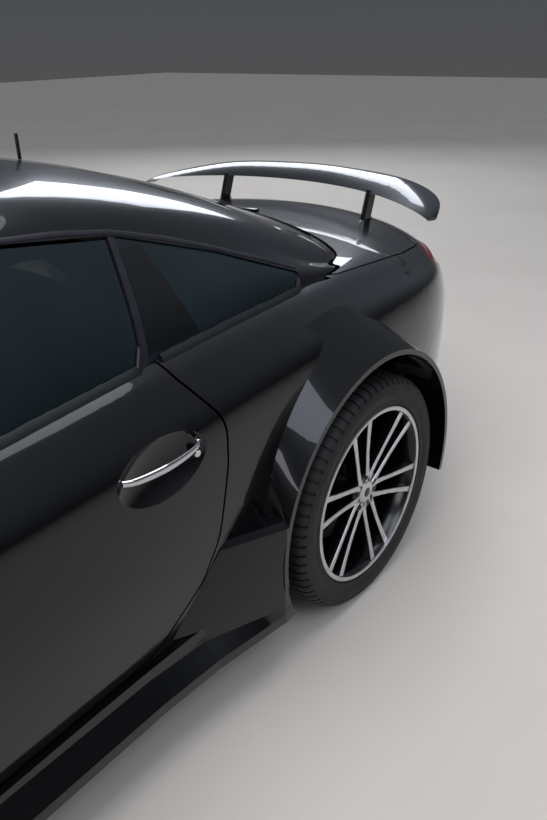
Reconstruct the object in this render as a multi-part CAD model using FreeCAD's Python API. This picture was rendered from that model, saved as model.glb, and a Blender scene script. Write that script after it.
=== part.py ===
"""Two-door coupe with widened arches, a raised boot wing and twelve-spoke wheels.

Row frame in millimetres: X forward, Y to the car's left, Z up, the ground at Z = 0.
The origin is on the ground in the middle of the overall length and width.
Every piece is one STEP file in parts/, named after its node.
"""
import FreeCAD
import Part
import math
import os

V = FreeCAD.Vector

# Overall sizes
LENGTH = 4600.0
WHEELBASE = 2560.0
REAR_OVERHANG = 1135.0
X_TAIL = -LENGTH / 2
X_NOSE = LENGTH / 2
X_REAR = X_TAIL + REAR_OVERHANG
X_FRONT = X_REAR + WHEELBASE
Z_BODY = 135.0

# Gaps between panels: fixed seams, opening shut lines, moving glass, seats of fitted pieces
SEAM = 1.0
SHUT_GAP = 6.0
GLASS_GAP = 8.0
SEAT = 0.3

# Wall thicknesses
WING_SKIN = 14.0
BUMPER_SKIN = 18.0
DOOR_SKIN = 22.0
LID_WALL = 26.0
SIDE_WALL = 58.0
ROOF_WALL = 32.0
GLASS = 5.0
GLASS_INSET = 3.0

# Wheels: tyre radius and width, rim radius, middle of the tread across the car
REAR_WHEEL = dict(x=X_REAR, radius=351.5, width=322.0, rim=266.0, y=815.0)
FRONT_WHEEL = dict(x=X_FRONT, radius=334.0, width=264.0, rim=253.0, y=822.0)
SPOKES = 12
HUB_BORE = 34.0
SPINDLE_GAP = 0.3
DISC_R = 178.0
KINGPIN_Y = 742.0

# Lower side behind the door, upwards. Columns: z, then x and y at the door's edge and at the arch's lip.
RAMP_ROWS = [
    (301, -430, 886, -740, 979),
    (482, -586, 909, -744, 981),
    (498, -596, 903, -744, 968),
]

# Skirt blade, front to rear. Columns: x, reach of the blade, waist above it, height of the waist
SKIRT_ROWS = [
    (1100, 962, 930, 285),
    (960, 946, 915, 287),
    (700, 930, 904, 288),
    (-350, 938, 904, 272),
    (-520, 948, 908, 256),
    (-740, 979, 977, 240),
    (-800, 979, 977, 240),
]

# Arches: opening radius and lip reach of the flares
# The band of a flare runs from the lip's circle to a root circle under the skin: crown is that circle's
# shift along and up and its radius, foot the radius of the plain one that steadies the band's lower ends.
REAR_ARCH = dict(x=X_REAR, z=351.5, radius=417.0, lip_y=981.0, root_y=850.0, crown=(69.0, 224.0, 330.0),
                 foot=463.0)
FRONT_ARCH = dict(x=X_FRONT, z=341.0, radius=399.0, lip_y=966.0, root_y=840.0, crown=(-12.0, 84.0, 395.0),
                  foot=440.0)
LIP_FACE = 15.0
FOOT_BACK = 3.0

# Lower body sections, rear to front. Columns: x at the side, x at the centre line,
# half-widths at sill, lower side, side and shoulder, shoulder height,
# belt half-width and height, deck half-width and height, centre height.
BODY_ROWS = [
    (-2300, -2300, 380, 420, 430, 400, 545, 330, 600, 240, 628, 640),
    (-2255, -2297, 400, 470, 500, 470, 620, 400, 690, 300, 738, 756),
    (-2170, -2282, 520, 590, 625, 590, 702, 520, 776, 380, 826, 848),
    (-2060, -2225, 620, 680, 712, 680, 758, 600, 826, 440, 872, 898),
    (-1900, -2110, 706, 768, 797, 770, 800, 680, 856, 500, 898, 920),
    (-1650, -1760, 808, 862, 884, 862, 843, 755, 888, 535, 918, 938),
    (-1250, -1270, 845, 893, 912, 897, 862, 785, 928, 560, 964, 988),
    (-760, -760, 850, 893, 915, 908, 836, 806, 950, 590, 965, 985),
    (-260, -260, 850, 892, 915, 911, 808, 815, 925, 600, 950, 975),
    (240, 250, 850, 892, 913, 908, 790, 815, 897, 600, 930, 960),
    (700, 740, 848, 890, 908, 900, 782, 800, 878, 590, 912, 945),
    (1150, 1220, 842, 886, 903, 892, 775, 780, 858, 570, 880, 905),
    (1550, 1660, 835, 880, 897, 882, 748, 760, 828, 545, 838, 858),
    (1850, 1990, 800, 846, 864, 842, 700, 720, 775, 510, 780, 795),
    (2030, 2180, 715, 770, 790, 760, 640, 640, 702, 450, 702, 712),
    (2160, 2270, 600, 660, 680, 650, 580, 540, 628, 380, 632, 640),
    (2260, 2296, 480, 520, 540, 510, 520, 430, 560, 310, 570, 575),
    (2300, 2300, 380, 410, 420, 400, 470, 340, 500, 250, 510, 515),
]

# Greenhouse sections, rear to front. Columns: x at the side, x at the centre line,
# belt half-width and height, rail half-width and height, centre height.
CABIN_BASE = 840.0
CABIN_MID = (-350.0, 0.0)
CABIN_SHRINK = (735.0, 768.0, 450.0)
CABIN_ROWS = [
    (-1475, -1880, 664, 840, 604, 840, 840),
    (-1430, -1785, 694, 918, 626, 926, 940),
    (-1232, -1472, 733, 950, 648, 962, 1044),
    (-1070, -1210, 762, 965, 640, 1050, 1142),
    (-860, -910, 785, 962, 618, 1142, 1232),
    (-600, -600, 802, 950, 604, 1222, 1284),
    (-300, -290, 810, 930, 602, 1252, 1302),
    (0, 170, 812, 920, 612, 1240, 1284),
    (210, 420, 812, 915, 640, 1190, 1230),
    (450, 690, 812, 905, 700, 1072, 1098),
    (690, 950, 806, 880, 768, 905, 930),
    (790, 1060, 800, 840, 790, 840, 840),
]

# Door outline in side view: x, z, corner radius
DOOR = [(-520, 1010, 0), (-560, 905, 60), (-626, 800, 120), (-622, 700, 200), (-585, 520, 200),
        (-530, 425, 80), (-380, 309, 120), (500, 293, 140), (640, 420, 140), (664, 700, 300),
        (640, 900, 60), (600, 1010, 0)]
DOOR_INSET = 46.0
DOOR_INNER_Y = 742.0
HINGE_X = 604.0
HINGE_Y = 898.0
HINGE_LEVELS = (516.0, 640.0)
HINGE_HEIGHT = 22.0
HINGE_PIN = 3.0
HINGE_FIT = 0.3
HINGE_ARM_Y = 812.0

# Door handle: its outline in plan (x, y, radius), lower and upper face, and the bowl behind it
GRIP = [(-334, 905, 0), (-342, 922, 24), (-440, 946, 300), (-540, 930, 24), (-554, 905, 0),
        (-530, 905, 0), (-524, 918, 8),
        (-440, 932, 260), (-360, 911, 8), (-356, 905, 0)]
GRIP_Z = (782.0, 800.0)
BOWL = (-443.0, 905.0, 786.0)
BOWL_DEEP = 22.0
BOWL_HALF = (105.0, 70.0)

# Side windows in side view: x, z, corner radius
SIDE_GLASS = [(604, 780, 0), (604, 906, 12), (470, 1006, 140), (250, 1122, 260), (-30, 1190, 500),
              (-320, 1204, 500),
              (-590, 1170, 400), (-860, 1084, 500), (-1142, 972, 14), (-1100, 950, 10), (-1050, 780, 0)]
GLASS_SPLIT = [(-584, 1190), (-579, 1168), (-519, 940), (-470, 760)]
PILLAR_STRIP = 18.0

# Plan outlines, half of each: x, y, corner radius
BONNET = [(1035, 0, 0), (985, 330, 300), (760, 700, 60), (760, 752, 30), (1150, 748, 900), (1700, 690, 700),
          (2040, 560, 260), (2150, 330, 300), (2172, 0, 0)]
BOOT_LID = [(-1600, 0, 0), (-1560, 320, 260), (-1400, 560, 200), (-1258, 640, 6), (-1258, 716, 6),
            (-1320, 726, 200),
            (-1512, 714, 600), (-1752, 690, 200), (-1950, 640, 80), (-2040, 455, 60), (-2400, 425, 0),
            (-2400, 0, 0)]
LID_LOW_Z = 640.0
PLATE_X = -2284.0
LID_TOP_Z = 1040.0
BONNET_HINGE = (828.0, 868.0)
BONNET_HEEL = 1789.0
HEEL_HALF = 690.0
LID_HINGE = (-1272.0, 919.0)
LID_PIN_Y = 702.0

# Wing on the boot lid, from the tip to the centre. Columns: half-span, leading edge's x and z,
# trailing edge's x and z, thickness.
WING_ROWS = [
    (702, -1894, 966, -1958, 964, 10),
    (660, -1912, 979, -2062, 990, 16),
    (570, -1960, 990, -2156, 1013, 21),
    (450, -2020, 997, -2203, 1034, 25),
    (250, -2088, 1002, -2248, 1045, 27),
    (0, -2116, 1004, -2268, 1050, 27),
]
STRUT_Y = 362.0
STRUT_FOOT = (-2046.0, 911.0)
STRUT_TOP = (-2078.0, 1000.0)
STRUT_CHORD = 60.0
STRUT_THICK = 20.0
STRUT_ABOVE = 96.0
STRUT_BELOW = 90.0
GUIDE_GAP = 0.5

# Cabin: seats, dashboard and steering wheel
FLOOR_Z = (165.0, 200.0)
TUNNEL = (112.0, 340.0)
JACK_X = 640.0
JACK_Z = 138.0
SEAT_Y = 370.0
STEER_CENTRE = (395.0, 370.0, 745.0)
STEER_TILT = 24.0
STEER_R = 182.0
MIRROR = (545.0, 985.0, 985.0)

os.makedirs("parts", exist_ok=True)


def save(name, shape, least=2000.0):
    """Writes one node; slivers left by the cuts stay out."""
    solids = [s for s in shape.Solids if s.Volume > least]
    out = solids[0] if len(solids) == 1 else Part.makeCompound(solids)
    bad = len([s for s in solids if not s.isValid()])
    box = out.BoundBox
    print(f"{name:22s} solids {len(solids)} bad {bad} faces {len(out.Faces):4d} "
          f"x {box.XMin:7.0f} {box.XMax:7.0f} y {box.YMin:6.0f} {box.YMax:6.0f} "
          f"z {box.ZMin:5.0f} {box.ZMax:5.0f} "
          f"litres {out.Volume / 1e6:7.2f}")
    out.exportStep(f"parts/{name}.step")
    return out


def rounded(points, place):
    """A closed wire through points (a, b, radius) with rounded corners; place turns (a, b) into 3-D."""
    flat = [(V(a, b, 0), r) for a, b, r in points]
    count = len(flat)
    ends = []
    for i, (p, r) in enumerate(flat):
        before, after = flat[i - 1][0], flat[(i + 1) % count][0]
        d1, d2 = (before - p), (after - p)
        half = d1.getAngle(d2) / 2
        if r <= 0 or half > math.radians(89.8):
            ends.append((p, None, p))
            continue
        reach = min(r / math.tan(half), 0.48 * d1.Length, 0.48 * d2.Length)
        radius = reach * math.tan(half)
        d1.normalize()
        d2.normalize()
        bisector = (d1 + d2).normalize()
        ends.append((p + d1 * reach, p + bisector * (radius / math.sin(half) - radius), p + d2 * reach))
    edges = []
    for i, (start, middle, end) in enumerate(ends):
        if middle is not None:
            edges.append(Part.Arc(place(start), place(middle), place(end)).toShape())
        following = ends[(i + 1) % count][0]
        if (following - end).Length > 1e-6:
            edges.append(Part.makeLine(place(end), place(following)))
    return Part.Wire(edges)


def grown(points, margin):
    """The same outline moved outwards (or inwards, below zero) by a margin."""
    flat = [V(a, b, 0) for a, b, _ in points]
    area = sum(p.x * q.y - q.x * p.y for p, q in zip(flat, flat[1:] + flat[:1]))
    sign = 1 if area > 0 else -1
    out = []
    for i, p in enumerate(flat):
        e1 = (p - flat[i - 1]).normalize()
        e2 = (flat[(i + 1) % len(flat)] - p).normalize()
        n1, n2 = V(e1.y, -e1.x, 0) * sign, V(e2.y, -e2.x, 0) * sign
        bisector = n1 + n2
        scale = margin * 2 / max(bisector.Length ** 2, 0.4)
        out.append((p.x + bisector.x * scale, p.y + bisector.y * scale, points[i][2]))
    return out


def side_prism(points, y0, y1):
    """A side-view outline (x, z, radius) carried across the car from y0 to y1."""
    face = Part.Face(rounded(points, lambda p: V(p.x, y0, p.y)))
    return face.extrude(V(0, y1 - y0, 0))


def plan_prism(points, z0, z1):
    """A plan outline (x, y, radius) carried up from z0 to z1."""
    face = Part.Face(rounded(points, lambda p: V(p.x, p.y, z0)))
    return face.extrude(V(0, 0, z1 - z0))


def front_prism(points, x0, x1):
    """A front-view outline (y, z, radius) carried along the car from x0 to x1."""
    face = Part.Face(rounded(points, lambda p: V(x0, p.x, p.y)))
    return face.extrude(V(x1 - x0, 0, 0))


def both_sides(half):
    """A whole plan outline from its left half; the first and last points lie on the centre line."""
    return half + [(x, -y, r) for x, y, r in reversed(half[1:-1])]


def box(x0, x1, y0, y1, z0, z1):
    return Part.makeBox(x1 - x0, y1 - y0, z1 - z0, V(x0, y0, z0))


def bar(start, end, radius):
    """A round bar between two points."""
    a, b = V(*start), V(*end)
    return Part.makeCylinder(radius, (b - a).Length, a, b - a)


def mirrored_shape(shape):
    return shape.mirror(V(0, 0, 0), V(0, 1, 0))


def pair(name, left, least=2000.0):
    """Writes a left piece and its mirror image as two nodes."""
    save(f"{name}_left", left, least)
    save(f"{name}_right", mirrored_shape(left), least)


def both(name, left, least=2000.0):
    """Writes a left piece and its mirror image as two solids of one node."""
    save(name, Part.makeCompound(left.Solids + mirrored_shape(left).Solids), least)


def net_surface(rows):
    """A smooth surface that follows a net of control points, clamped at its borders."""
    def spread(count):
        return [4] + [1] * (count - 4) + [4], [float(k) for k in range(count - 2)]
    um, uk = spread(len(rows))
    vm, vk = spread(len(rows[0]))
    surface = Part.BSplineSurface()
    surface.buildFromPolesMultsKnots(rows, um, vm, uk, vk, False, False, 3, 3)
    return surface


def section(half, xs, xm, widest):
    """A whole section row from its left half of (y, z), bowed from the side to the centre line."""
    line = [V(xs + (xm - xs) * (1.0 - min(1.0, y / widest) ** 2), y, z) for y, z in half]
    return line + [V(p.x, -p.y, p.z) for p in reversed(line[:-1])]


def closed(faces):
    shell = Part.makeShell(faces)
    shell.sewShape()
    solid = Part.Solid(shell)
    if solid.Volume < 0:
        solid.reverse()
    return solid


def body_solid(wall=0.0):
    """The lower body as one closed solid, set in by a wall's thickness."""
    rows = []
    for (xs, xm, sill, low, side, sh, zsh, belt, zb, deck, zd, zm) in BODY_ROWS:
        drop = (zsh - Z_BODY) / 700.0
        half = [(sill - 45, Z_BODY), (sill + 8, Z_BODY + 6), (low, Z_BODY + 200 * drop),
                (side, Z_BODY + 420 * drop),
                (side - 1, zsh - 90 * drop), (sh + 4, zsh - 22 * drop), (sh - 14, zsh + 16 * drop),
                (belt + 22, zb - 26 * drop), (belt - 14, zb + 6 * drop), (deck, zd),
                (deck * 0.5, zm - (zm - zd) * 0.25), (0, zm)]
        rows.append(section(half, xs, xm, side))
    floor = Z_BODY - (1.0 if wall > 0 else 0.0)
    for line in rows:
        for p in line:
            p.x *= 1.0 - wall / X_NOSE
            p.y *= 1.0 - wall / 900.0
            p.z = floor + (p.z - Z_BODY) * (1.0 - wall / 800.0)
    surface = net_surface(rows)
    u0, u1, v0, v1 = surface.bounds()
    left, right = surface.vIso(v0).toShape(), surface.vIso(v1).toShape()
    back, front = surface.uIso(u0).toShape(), surface.uIso(u1).toShape()
    back_sill = Part.makeLine(rows[0][0], rows[0][-1])
    front_sill = Part.makeLine(rows[-1][0], rows[-1][-1])
    return closed([surface.toShape(), Part.Face(Part.Wire([back, back_sill])),
                   Part.Face(Part.Wire([front, front_sill])),
                   Part.Face(Part.Wire([left, front_sill, right, back_sill]))])


def cabin_solid(wall=0.0):
    """The greenhouse as one closed solid, set in by a wall's thickness."""
    rows = []
    last = len(CABIN_ROWS) - 1
    for i, (xs, xm, belt, zb, rail, zr, zm) in enumerate(CABIN_ROWS):
        mid_y, mid_z = (belt + rail) / 2 + 12, (zb + zr) / 2
        half = [(belt + 8, CABIN_BASE), (belt, zb), (mid_y, mid_z), (rail + 26, zr - 20),
                (rail - 6, zr + 14),
                (rail - 90, zr + (zm - zr) * 0.55 + 8), (rail * 0.45, zm - 2), (0, zm)]
        if i in (0, last):
            half = [(y, CABIN_BASE) for y, _ in half]
        rows.append(section(half, xs, xm, belt))
    floor = CABIN_BASE - (1.0 if wall > 0 else 0.0)
    for line in rows:
        for p in line:
            p.x = CABIN_MID[0] + (p.x - CABIN_MID[0]) * (1.0 - wall / CABIN_SHRINK[0])
            p.y *= 1.0 - wall / CABIN_SHRINK[1]
            p.z = floor + (p.z - CABIN_BASE) * (1.0 - wall / CABIN_SHRINK[2])
    surface = net_surface(rows)
    u0, u1, v0, v1 = surface.bounds()
    rim = [surface.vIso(v0).toShape(), surface.uIso(u1).toShape(), surface.vIso(v1).toShape(),
           surface.uIso(u0).toShape()]
    return closed([surface.toShape(), Part.Face(Part.Wire(rim))])


def handle_bowl():
    """The lens-shaped tool of the bowl behind a door handle: an arc spun about a line along the car."""
    (x, y, z), (half_x, half_z) = BOWL, BOWL_HALF
    spin_r = (half_z ** 2 + BOWL_DEEP ** 2) / (2 * BOWL_DEEP)
    arc_r = (half_x ** 2 + BOWL_DEEP ** 2) / (2 * BOWL_DEEP)
    axis_y = y - BOWL_DEEP + spin_r
    end_x = math.sqrt(arc_r ** 2 - (arc_r - spin_r) ** 2)
    a, b = V(x - end_x, axis_y, z), V(x + end_x, axis_y, z)
    edge = Part.Arc(a, V(x, y - BOWL_DEEP, z), b).toShape()
    return Part.Face(Part.Wire([edge, Part.makeLine(b, a)])).revolve(V(x, axis_y, z), V(1, 0, 0), 360)


def upright_circle(x, y, z, r):
    """A circle in the side view, as two arcs that meet at its top and its foot."""
    foot, top = V(x, y, z - r), V(x, y, z + r)
    ahead = Part.Arc(foot, V(x + r, y, z), top).toShape()
    behind = Part.Arc(top, V(x - r, y, z), foot).toShape()
    return Part.Wire([ahead, behind])


def arch_cone(arch, along, up, root_r, back):
    """A leaning cone from a root circle under the skin to the arch's lip, or that far back from it."""
    root = upright_circle(arch["x"] + along, arch["root_y"], arch["z"] + up, root_r)
    lip = upright_circle(arch["x"], arch["lip_y"] - back, arch["z"], arch["radius"] + LIP_FACE - back)
    return Part.makeLoft([root, lip], True, True)


def flare(arch):
    """The widened arch, still closed over its opening: widest over the wheel, steep at its feet."""
    return arch_cone(arch, *arch["crown"], 0.0).fuse(arch_cone(arch, 0.0, 0.0, arch["foot"], FOOT_BACK))


def arch_cut(arch, y0=560.0, y1=1100.0):
    return Part.makeCylinder(arch["radius"], y1 - y0, V(arch["x"], y0, arch["z"]), V(0, 1, 0))


# Master forms
body = body_solid()
body_seat = body_solid(-SEAT)
body_wing = body_solid(WING_SKIN)
body_bumper = body_solid(BUMPER_SKIN)
body_door = body_solid(DOOR_SKIN)
body_lid = body_solid(LID_WALL)
body_wall = body_solid(SIDE_WALL)
cabin = cabin_solid()
cabin_inner = cabin_solid(ROOF_WALL)
glass_outer = cabin_solid(GLASS_INSET)
glass_inner = cabin_solid(GLASS_INSET + GLASS)
glass_shell = glass_outer.cut(glass_inner)

door_hole = side_prism(grown(DOOR, SHUT_GAP), 560, 1100)
bonnet_hole = plan_prism(grown(both_sides(BONNET), SHUT_GAP), 500, LID_TOP_Z)
lid_hole = plan_prism(grown(both_sides(BOOT_LID), SHUT_GAP), LID_LOW_Z - SHUT_GAP, LID_TOP_Z)

# Side panels: the sill line parts the skirt from the panels above it
SILL_Z = 300.0
QUARTER = [(-340, SILL_Z + SEAM, 0), (-340, 1120, 0), (-1950, 1120, 0), (-1950, 875, 20),
           (-1930, 845, 20), (-1925, 704, 30),
           (-1700, 640, 60), (-1600, 590, 30), (-1480, 575, 0), (-1480, SILL_Z + SEAM, 0)]
FRONT_WING = [(610, SILL_Z + SEAM, 0), (640, 1120, 0), (1905, 1120, 0), (1905, 760, 0), (1850, 690, 20),
              (1800, 600, 40), (1760, 520, 40),
              (1740, SILL_Z + SEAM, 0)]
quarter = body.common(side_prism(QUARTER, 560, 1100)).cut(body_wall)
quarter = quarter.fuse(flare(REAR_ARCH).cut(body_wall).common(side_prism(QUARTER, 560, 1100)))
ramp_wires = []
for z, x_door, y_door, x_lip, y_lip in RAMP_ROWS:
    corners = [V(x_door, y_door - 24, z), V(x_door, y_door, z), V(x_lip, y_lip, z),
               V(x_lip - 60, y_lip, z), V(x_lip - 60, y_door - 24, z)]
    ramp_wires.append(Part.makePolygon(corners + corners[:1]))
quarter = quarter.fuse(Part.makeLoft(ramp_wires, True, True))
quarter = quarter.cut(arch_cut(REAR_ARCH)).cut(door_hole).cut(lid_hole)
quarter = quarter.cut(box(-1262, 800, 0, 742, 500, 1200)).cut(box(-2000, 0, 0, 640, 500, 1200))
quarter = quarter.fuse(bar((LID_HINGE[0], LID_PIN_Y, LID_HINGE[1]),
                           (LID_HINGE[0], LID_PIN_Y + 44, LID_HINGE[1]), HINGE_PIN))
both("quarter_panels", quarter)

wing = body.common(side_prism(FRONT_WING, 560, 1100)).cut(body_wing)
wing = wing.fuse(flare(FRONT_ARCH).common(side_prism(FRONT_WING, 560,
                                                     1100)).cut(body_wing.common(box(0, 1200, 0, 1100, 0,
                                                             1200))))
wing = wing.cut(arch_cut(FRONT_ARCH)).cut(door_hole).cut(bonnet_hole)
wing = wing.cut(plan_prism([(560, 0, 0), (560, 748, 0), (1150, 744, 0), (1700, 680, 0), (2000, 540, 0),
                            (2000, 0, 0)], 500, 1200))
wing = wing.fuse(bar((BONNET_HINGE[0], 716, BONNET_HINGE[1]), (BONNET_HINGE[0], 762, BONNET_HINGE[1]),
                     HINGE_PIN))
both("front_wings", wing)

# Doors: a skin over the whole outline and a thick inner part set in from the edges
door_skin = body.common(side_prism(DOOR, 560, 1100)).cut(body_door)
door_core = body.common(side_prism(grown(DOOR, -DOOR_INSET), DOOR_INNER_Y, 1100))
door = door_skin.fuse(door_core)
door = door.cut(box(-900, 900, 0, 742, 0, 1200))
slot = cabin_solid(GLASS_INSET - 1.0).cut(cabin_solid(GLASS_INSET + GLASS + 1.0)).common(box(-700, 640,
        500, 900, 845, 1100))
door = door.cut(slot).cut(cabin_solid(-SEAT).common(box(-700, 700, 0, 1000, 900,
                                                        1400)).cut(cabin_solid(0.5)))
for z in HINGE_LEVELS:
    low, high = z - SHUT_GAP, z + HINGE_HEIGHT + SHUT_GAP
    door = door.cut(box(HINGE_X - 16, 720, HINGE_ARM_Y - 22, 889, low, high))
    door = door.cut(box(HINGE_X - 12, 690, 880, HINGE_Y + 2, low, high)).cut(box(HINGE_X - 12,
            HINGE_X + 26, 880, HINGE_Y + 6.5, low, high))
    door = door.cut(bar((HINGE_X, HINGE_Y, low - 18), (HINGE_X, HINGE_Y, high + 18), HINGE_PIN + HINGE_FIT))
door = door.cut(handle_bowl())
pair("door", door)

front_of_split = GLASS_SPLIT + [(900, 760), (900, 1300), (-584, 1300)]
rear_of_split = [(x - PILLAR_STRIP, z) for x, z in GLASS_SPLIT] + [(-1500, 760), (-1500, 1300),
        (-584 - PILLAR_STRIP, 1300)]
door_window = glass_shell.common(side_prism(grown(SIDE_GLASS, -GLASS_GAP), 500, 1000))
door_window = door_window.common(side_prism([(x + SHUT_GAP, z, 0) for x, z in front_of_split], 500,
                                            1000)).common(box(-700, 700, 500, 1000, 852, 1300))
pair("door_window", door_window)

roof = cabin.cut(cabin_inner).cut(body_seat)
windscreen_hole = [(715, 800, 0), (712, 905, 30), (645, 1075, 0), (590, 1185, 60), (0, 1258, 0)]
rear_hole = [(-870, 0, 0), (-880, 470, 80), (-1420, 560, 120), (-1560, 480, 160), (-1660, 0, 0)]
front_cut = front_prism(windscreen_hole + [(-y, z, r) for y, z, r in reversed(windscreen_hole[:-1])], 60,
                        1200)
rear_cut = plan_prism(both_sides(rear_hole), 900, 1400)
roof = roof.cut(front_cut).cut(rear_cut)
side_cut = side_prism(SIDE_GLASS, 560, 1000)
roof = roof.cut(side_cut).cut(mirrored_shape(side_cut)).cut(door_hole).cut(mirrored_shape(door_hole))
save("roof", roof)
save("windscreen", glass_shell.common(front_prism(grown(windscreen_hole + [(-y, z, r) for y, z,
        r in reversed(windscreen_hole[:-1])], -SEAT), 60, 1200)).cut(body_seat))
save("rear_window", glass_shell.common(plan_prism(grown(both_sides(rear_hole), -SEAT), 900,
                                                  1400)).cut(body_seat))
quarter_window = glass_shell.common(side_prism(grown(SIDE_GLASS, -SEAT), 500,
                                               1000)).common(side_prism([(x, z, 0) for x,
                                                       z in rear_of_split], 500, 1000))
both("quarter_windows", quarter_window.cut(body_seat))

# Bonnet and boot lid
def heel(reach, half):
    """What the bonnet's rear edge leaves free: the wedge behind a plane that leans back at 45 degrees."""
    corners = [(400, 500), (reach - 500, 500), (reach - 1100, 1100), (400, 1100)]
    face = Part.Face(Part.makePolygon([V(x, -half, z) for x, z in corners + corners[:1]]))
    return face.extrude(V(0, 2 * half, 0))


bonnet = body.common(plan_prism(both_sides(BONNET), 500, LID_TOP_Z)).cut(body_lid)
bonnet = bonnet.cut(cabin_solid(-SHUT_GAP)).cut(box(600, BONNET_HINGE[0] - 22, -900, 900, 600,
                                                    1100)).cut(heel(BONNET_HEEL, HEEL_HALF))
for side in (1, -1):
    bonnet = bonnet.cut(bar((BONNET_HINGE[0], side * 710, BONNET_HINGE[1]),
                            (BONNET_HINGE[0], side * 800, BONNET_HINGE[1]), HINGE_PIN + HINGE_FIT))
save("bonnet", bonnet)
strut_dir = (V(STRUT_TOP[0], 0, STRUT_TOP[1]) - V(STRUT_FOOT[0], 0, STRUT_FOOT[1])).normalize()


def strut(y, margin, below, above):
    """A leaning strut, or with a margin the hole it slides in."""
    across = strut_dir.cross(V(0, 1, 0)).normalize()
    start = V(STRUT_FOOT[0], y, STRUT_FOOT[1]) - strut_dir * below
    hc, ht = STRUT_CHORD / 2 + margin, STRUT_THICK / 2 + margin
    corners = [start + across * (hc * i) + V(0, ht * j, 0) for i,
               j in ((0.7, 1), (1, 0), (0.7, -1), (-0.7, -1), (-1, 0), (-0.7, 1))]
    return Part.Face(Part.makePolygon(corners + corners[:1])).extrude(strut_dir * (below + above))


lid = body.common(plan_prism(both_sides(BOOT_LID), LID_LOW_Z, LID_TOP_Z)).cut(body_lid)
lid = lid.cut(cabin_solid(-SHUT_GAP))
for side in (1, -1):
    guide = box(STRUT_FOOT[0] - 40, STRUT_FOOT[0] + 75, side * STRUT_Y - 26, side * STRUT_Y + 26,
                STRUT_FOOT[1] - 56, STRUT_FOOT[1] + 10)
    lid = lid.fuse(guide.common(body_solid(LID_WALL - 6)))
    lid = lid.cut(strut(side * STRUT_Y, GUIDE_GAP, 160, 0)).cut(strut(side * STRUT_Y, SHUT_GAP, 20, 60))
lid = lid.cut(box(-2400, PLATE_X, -264, 264, 652, 768))
for side in (1, -1):
    lid = lid.cut(bar((LID_HINGE[0], side * 680, LID_HINGE[1]), (LID_HINGE[0], side * 750, LID_HINGE[1]),
                      HINGE_PIN + HINGE_FIT))
save("boot_lid", lid)

sections = []
for y, lead_x, lead_z, trail_x, trail_z, thick in WING_ROWS + [(-y, *rest) for y,
        *rest in reversed(WING_ROWS[:-1])]:
    nose, tail_top = V(lead_x, y, lead_z), V(trail_x, y, trail_z)
    middle = nose + (tail_top - nose) * 0.42
    top = Part.Arc(nose, middle + V(0, 0, thick * 0.55), tail_top).toShape()
    tail_edge = Part.makeLine(tail_top, tail_top - V(0, 0, 5))
    below = Part.Arc(tail_top - V(0, 0, 5), middle - V(0, 0, thick * 0.45), nose).toShape()
    sections.append(Part.Wire([top, tail_edge, below]))
blade = Part.makeLoft(sections, True)
for side in (1, -1):
    blade = blade.fuse(strut(side * STRUT_Y, 0, STRUT_BELOW, STRUT_ABOVE))
save("boot_wing", blade)

# Bumpers and lamps: what the wings and quarters leave of the skin
ahead = body.cut(body_bumper).common(box(1700, 2400, -1100, 1100, 100, 1000))
wing_zone = side_prism(grown(FRONT_WING, SEAM), -1100, 1100)
ahead = ahead.cut(wing_zone).cut(bonnet_hole)
flare_front = flare(FRONT_ARCH).cut(body_bumper)
flare_ahead = flare_front.common(box(1700, 2000, 560, 1100, SILL_Z - 60, 600)).cut(wing_zone)
ahead = ahead.fuse(flare_ahead).fuse(mirrored_shape(flare_ahead))
ahead = ahead.cut(arch_cut(FRONT_ARCH)).cut(mirrored_shape(arch_cut(FRONT_ARCH)))
LAMP_FRONT = [(420, 596, 20), (560, 590, 40), (1000, 640, 0), (1000, 1000, 0), (560, 1000, 0),
              (420, 900, 20)]
lamp_zone = front_prism(LAMP_FRONT, 1790, 2400)
front_lamp = body.cut(body_solid(40)).common(lamp_zone).cut(wing_zone).cut(bonnet_hole)
both("headlamps", front_lamp.common(box(1700, 2400, 300, 1100, 500, 900)))
lamp_hole = front_prism(grown(LAMP_FRONT, SEAM), 1790, 2400)
GRILLE = [(-330, 478, 40), (330, 478, 40), (352, 600, 30), (-352, 600, 30)]
INTAKE = [(-560, 190, 40), (560, 190, 40), (600, 330, 50), (400, 380, 60), (-400, 380, 60), (-600, 330, 50)]
ahead = ahead.cut(lamp_hole).cut(mirrored_shape(lamp_hole))
ahead = ahead.cut(front_prism(GRILLE, 2000, 2400)).cut(front_prism(INTAKE, 2000, 2400))
save("front_bumper", ahead)
mesh_back = body_solid(BUMPER_SKIN + SEAT).cut(body_solid(BUMPER_SKIN + 16))
grille = mesh_back.common(front_prism(grown(GRILLE, 14), 2000, 2400))
for k in range(4):
    z = 488 + 28 * k
    grille = grille.cut(front_prism([(-318, z, 4), (318, z, 4), (322, z + 16, 4), (-322, z + 16, 4)],
                                    2000, 2400))
intake = mesh_back.common(front_prism(grown(INTAKE, 14), 2000, 2400))
for k in range(5):
    z = 204 + 32 * k
    intake = intake.cut(front_prism([(-520, z, 4), (520, z, 4), (520, z + 20, 4), (-520, z + 20, 4)],
                                    2000, 2400))
save("grille", Part.makeCompound(grille.Solids + intake.Solids))

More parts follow.
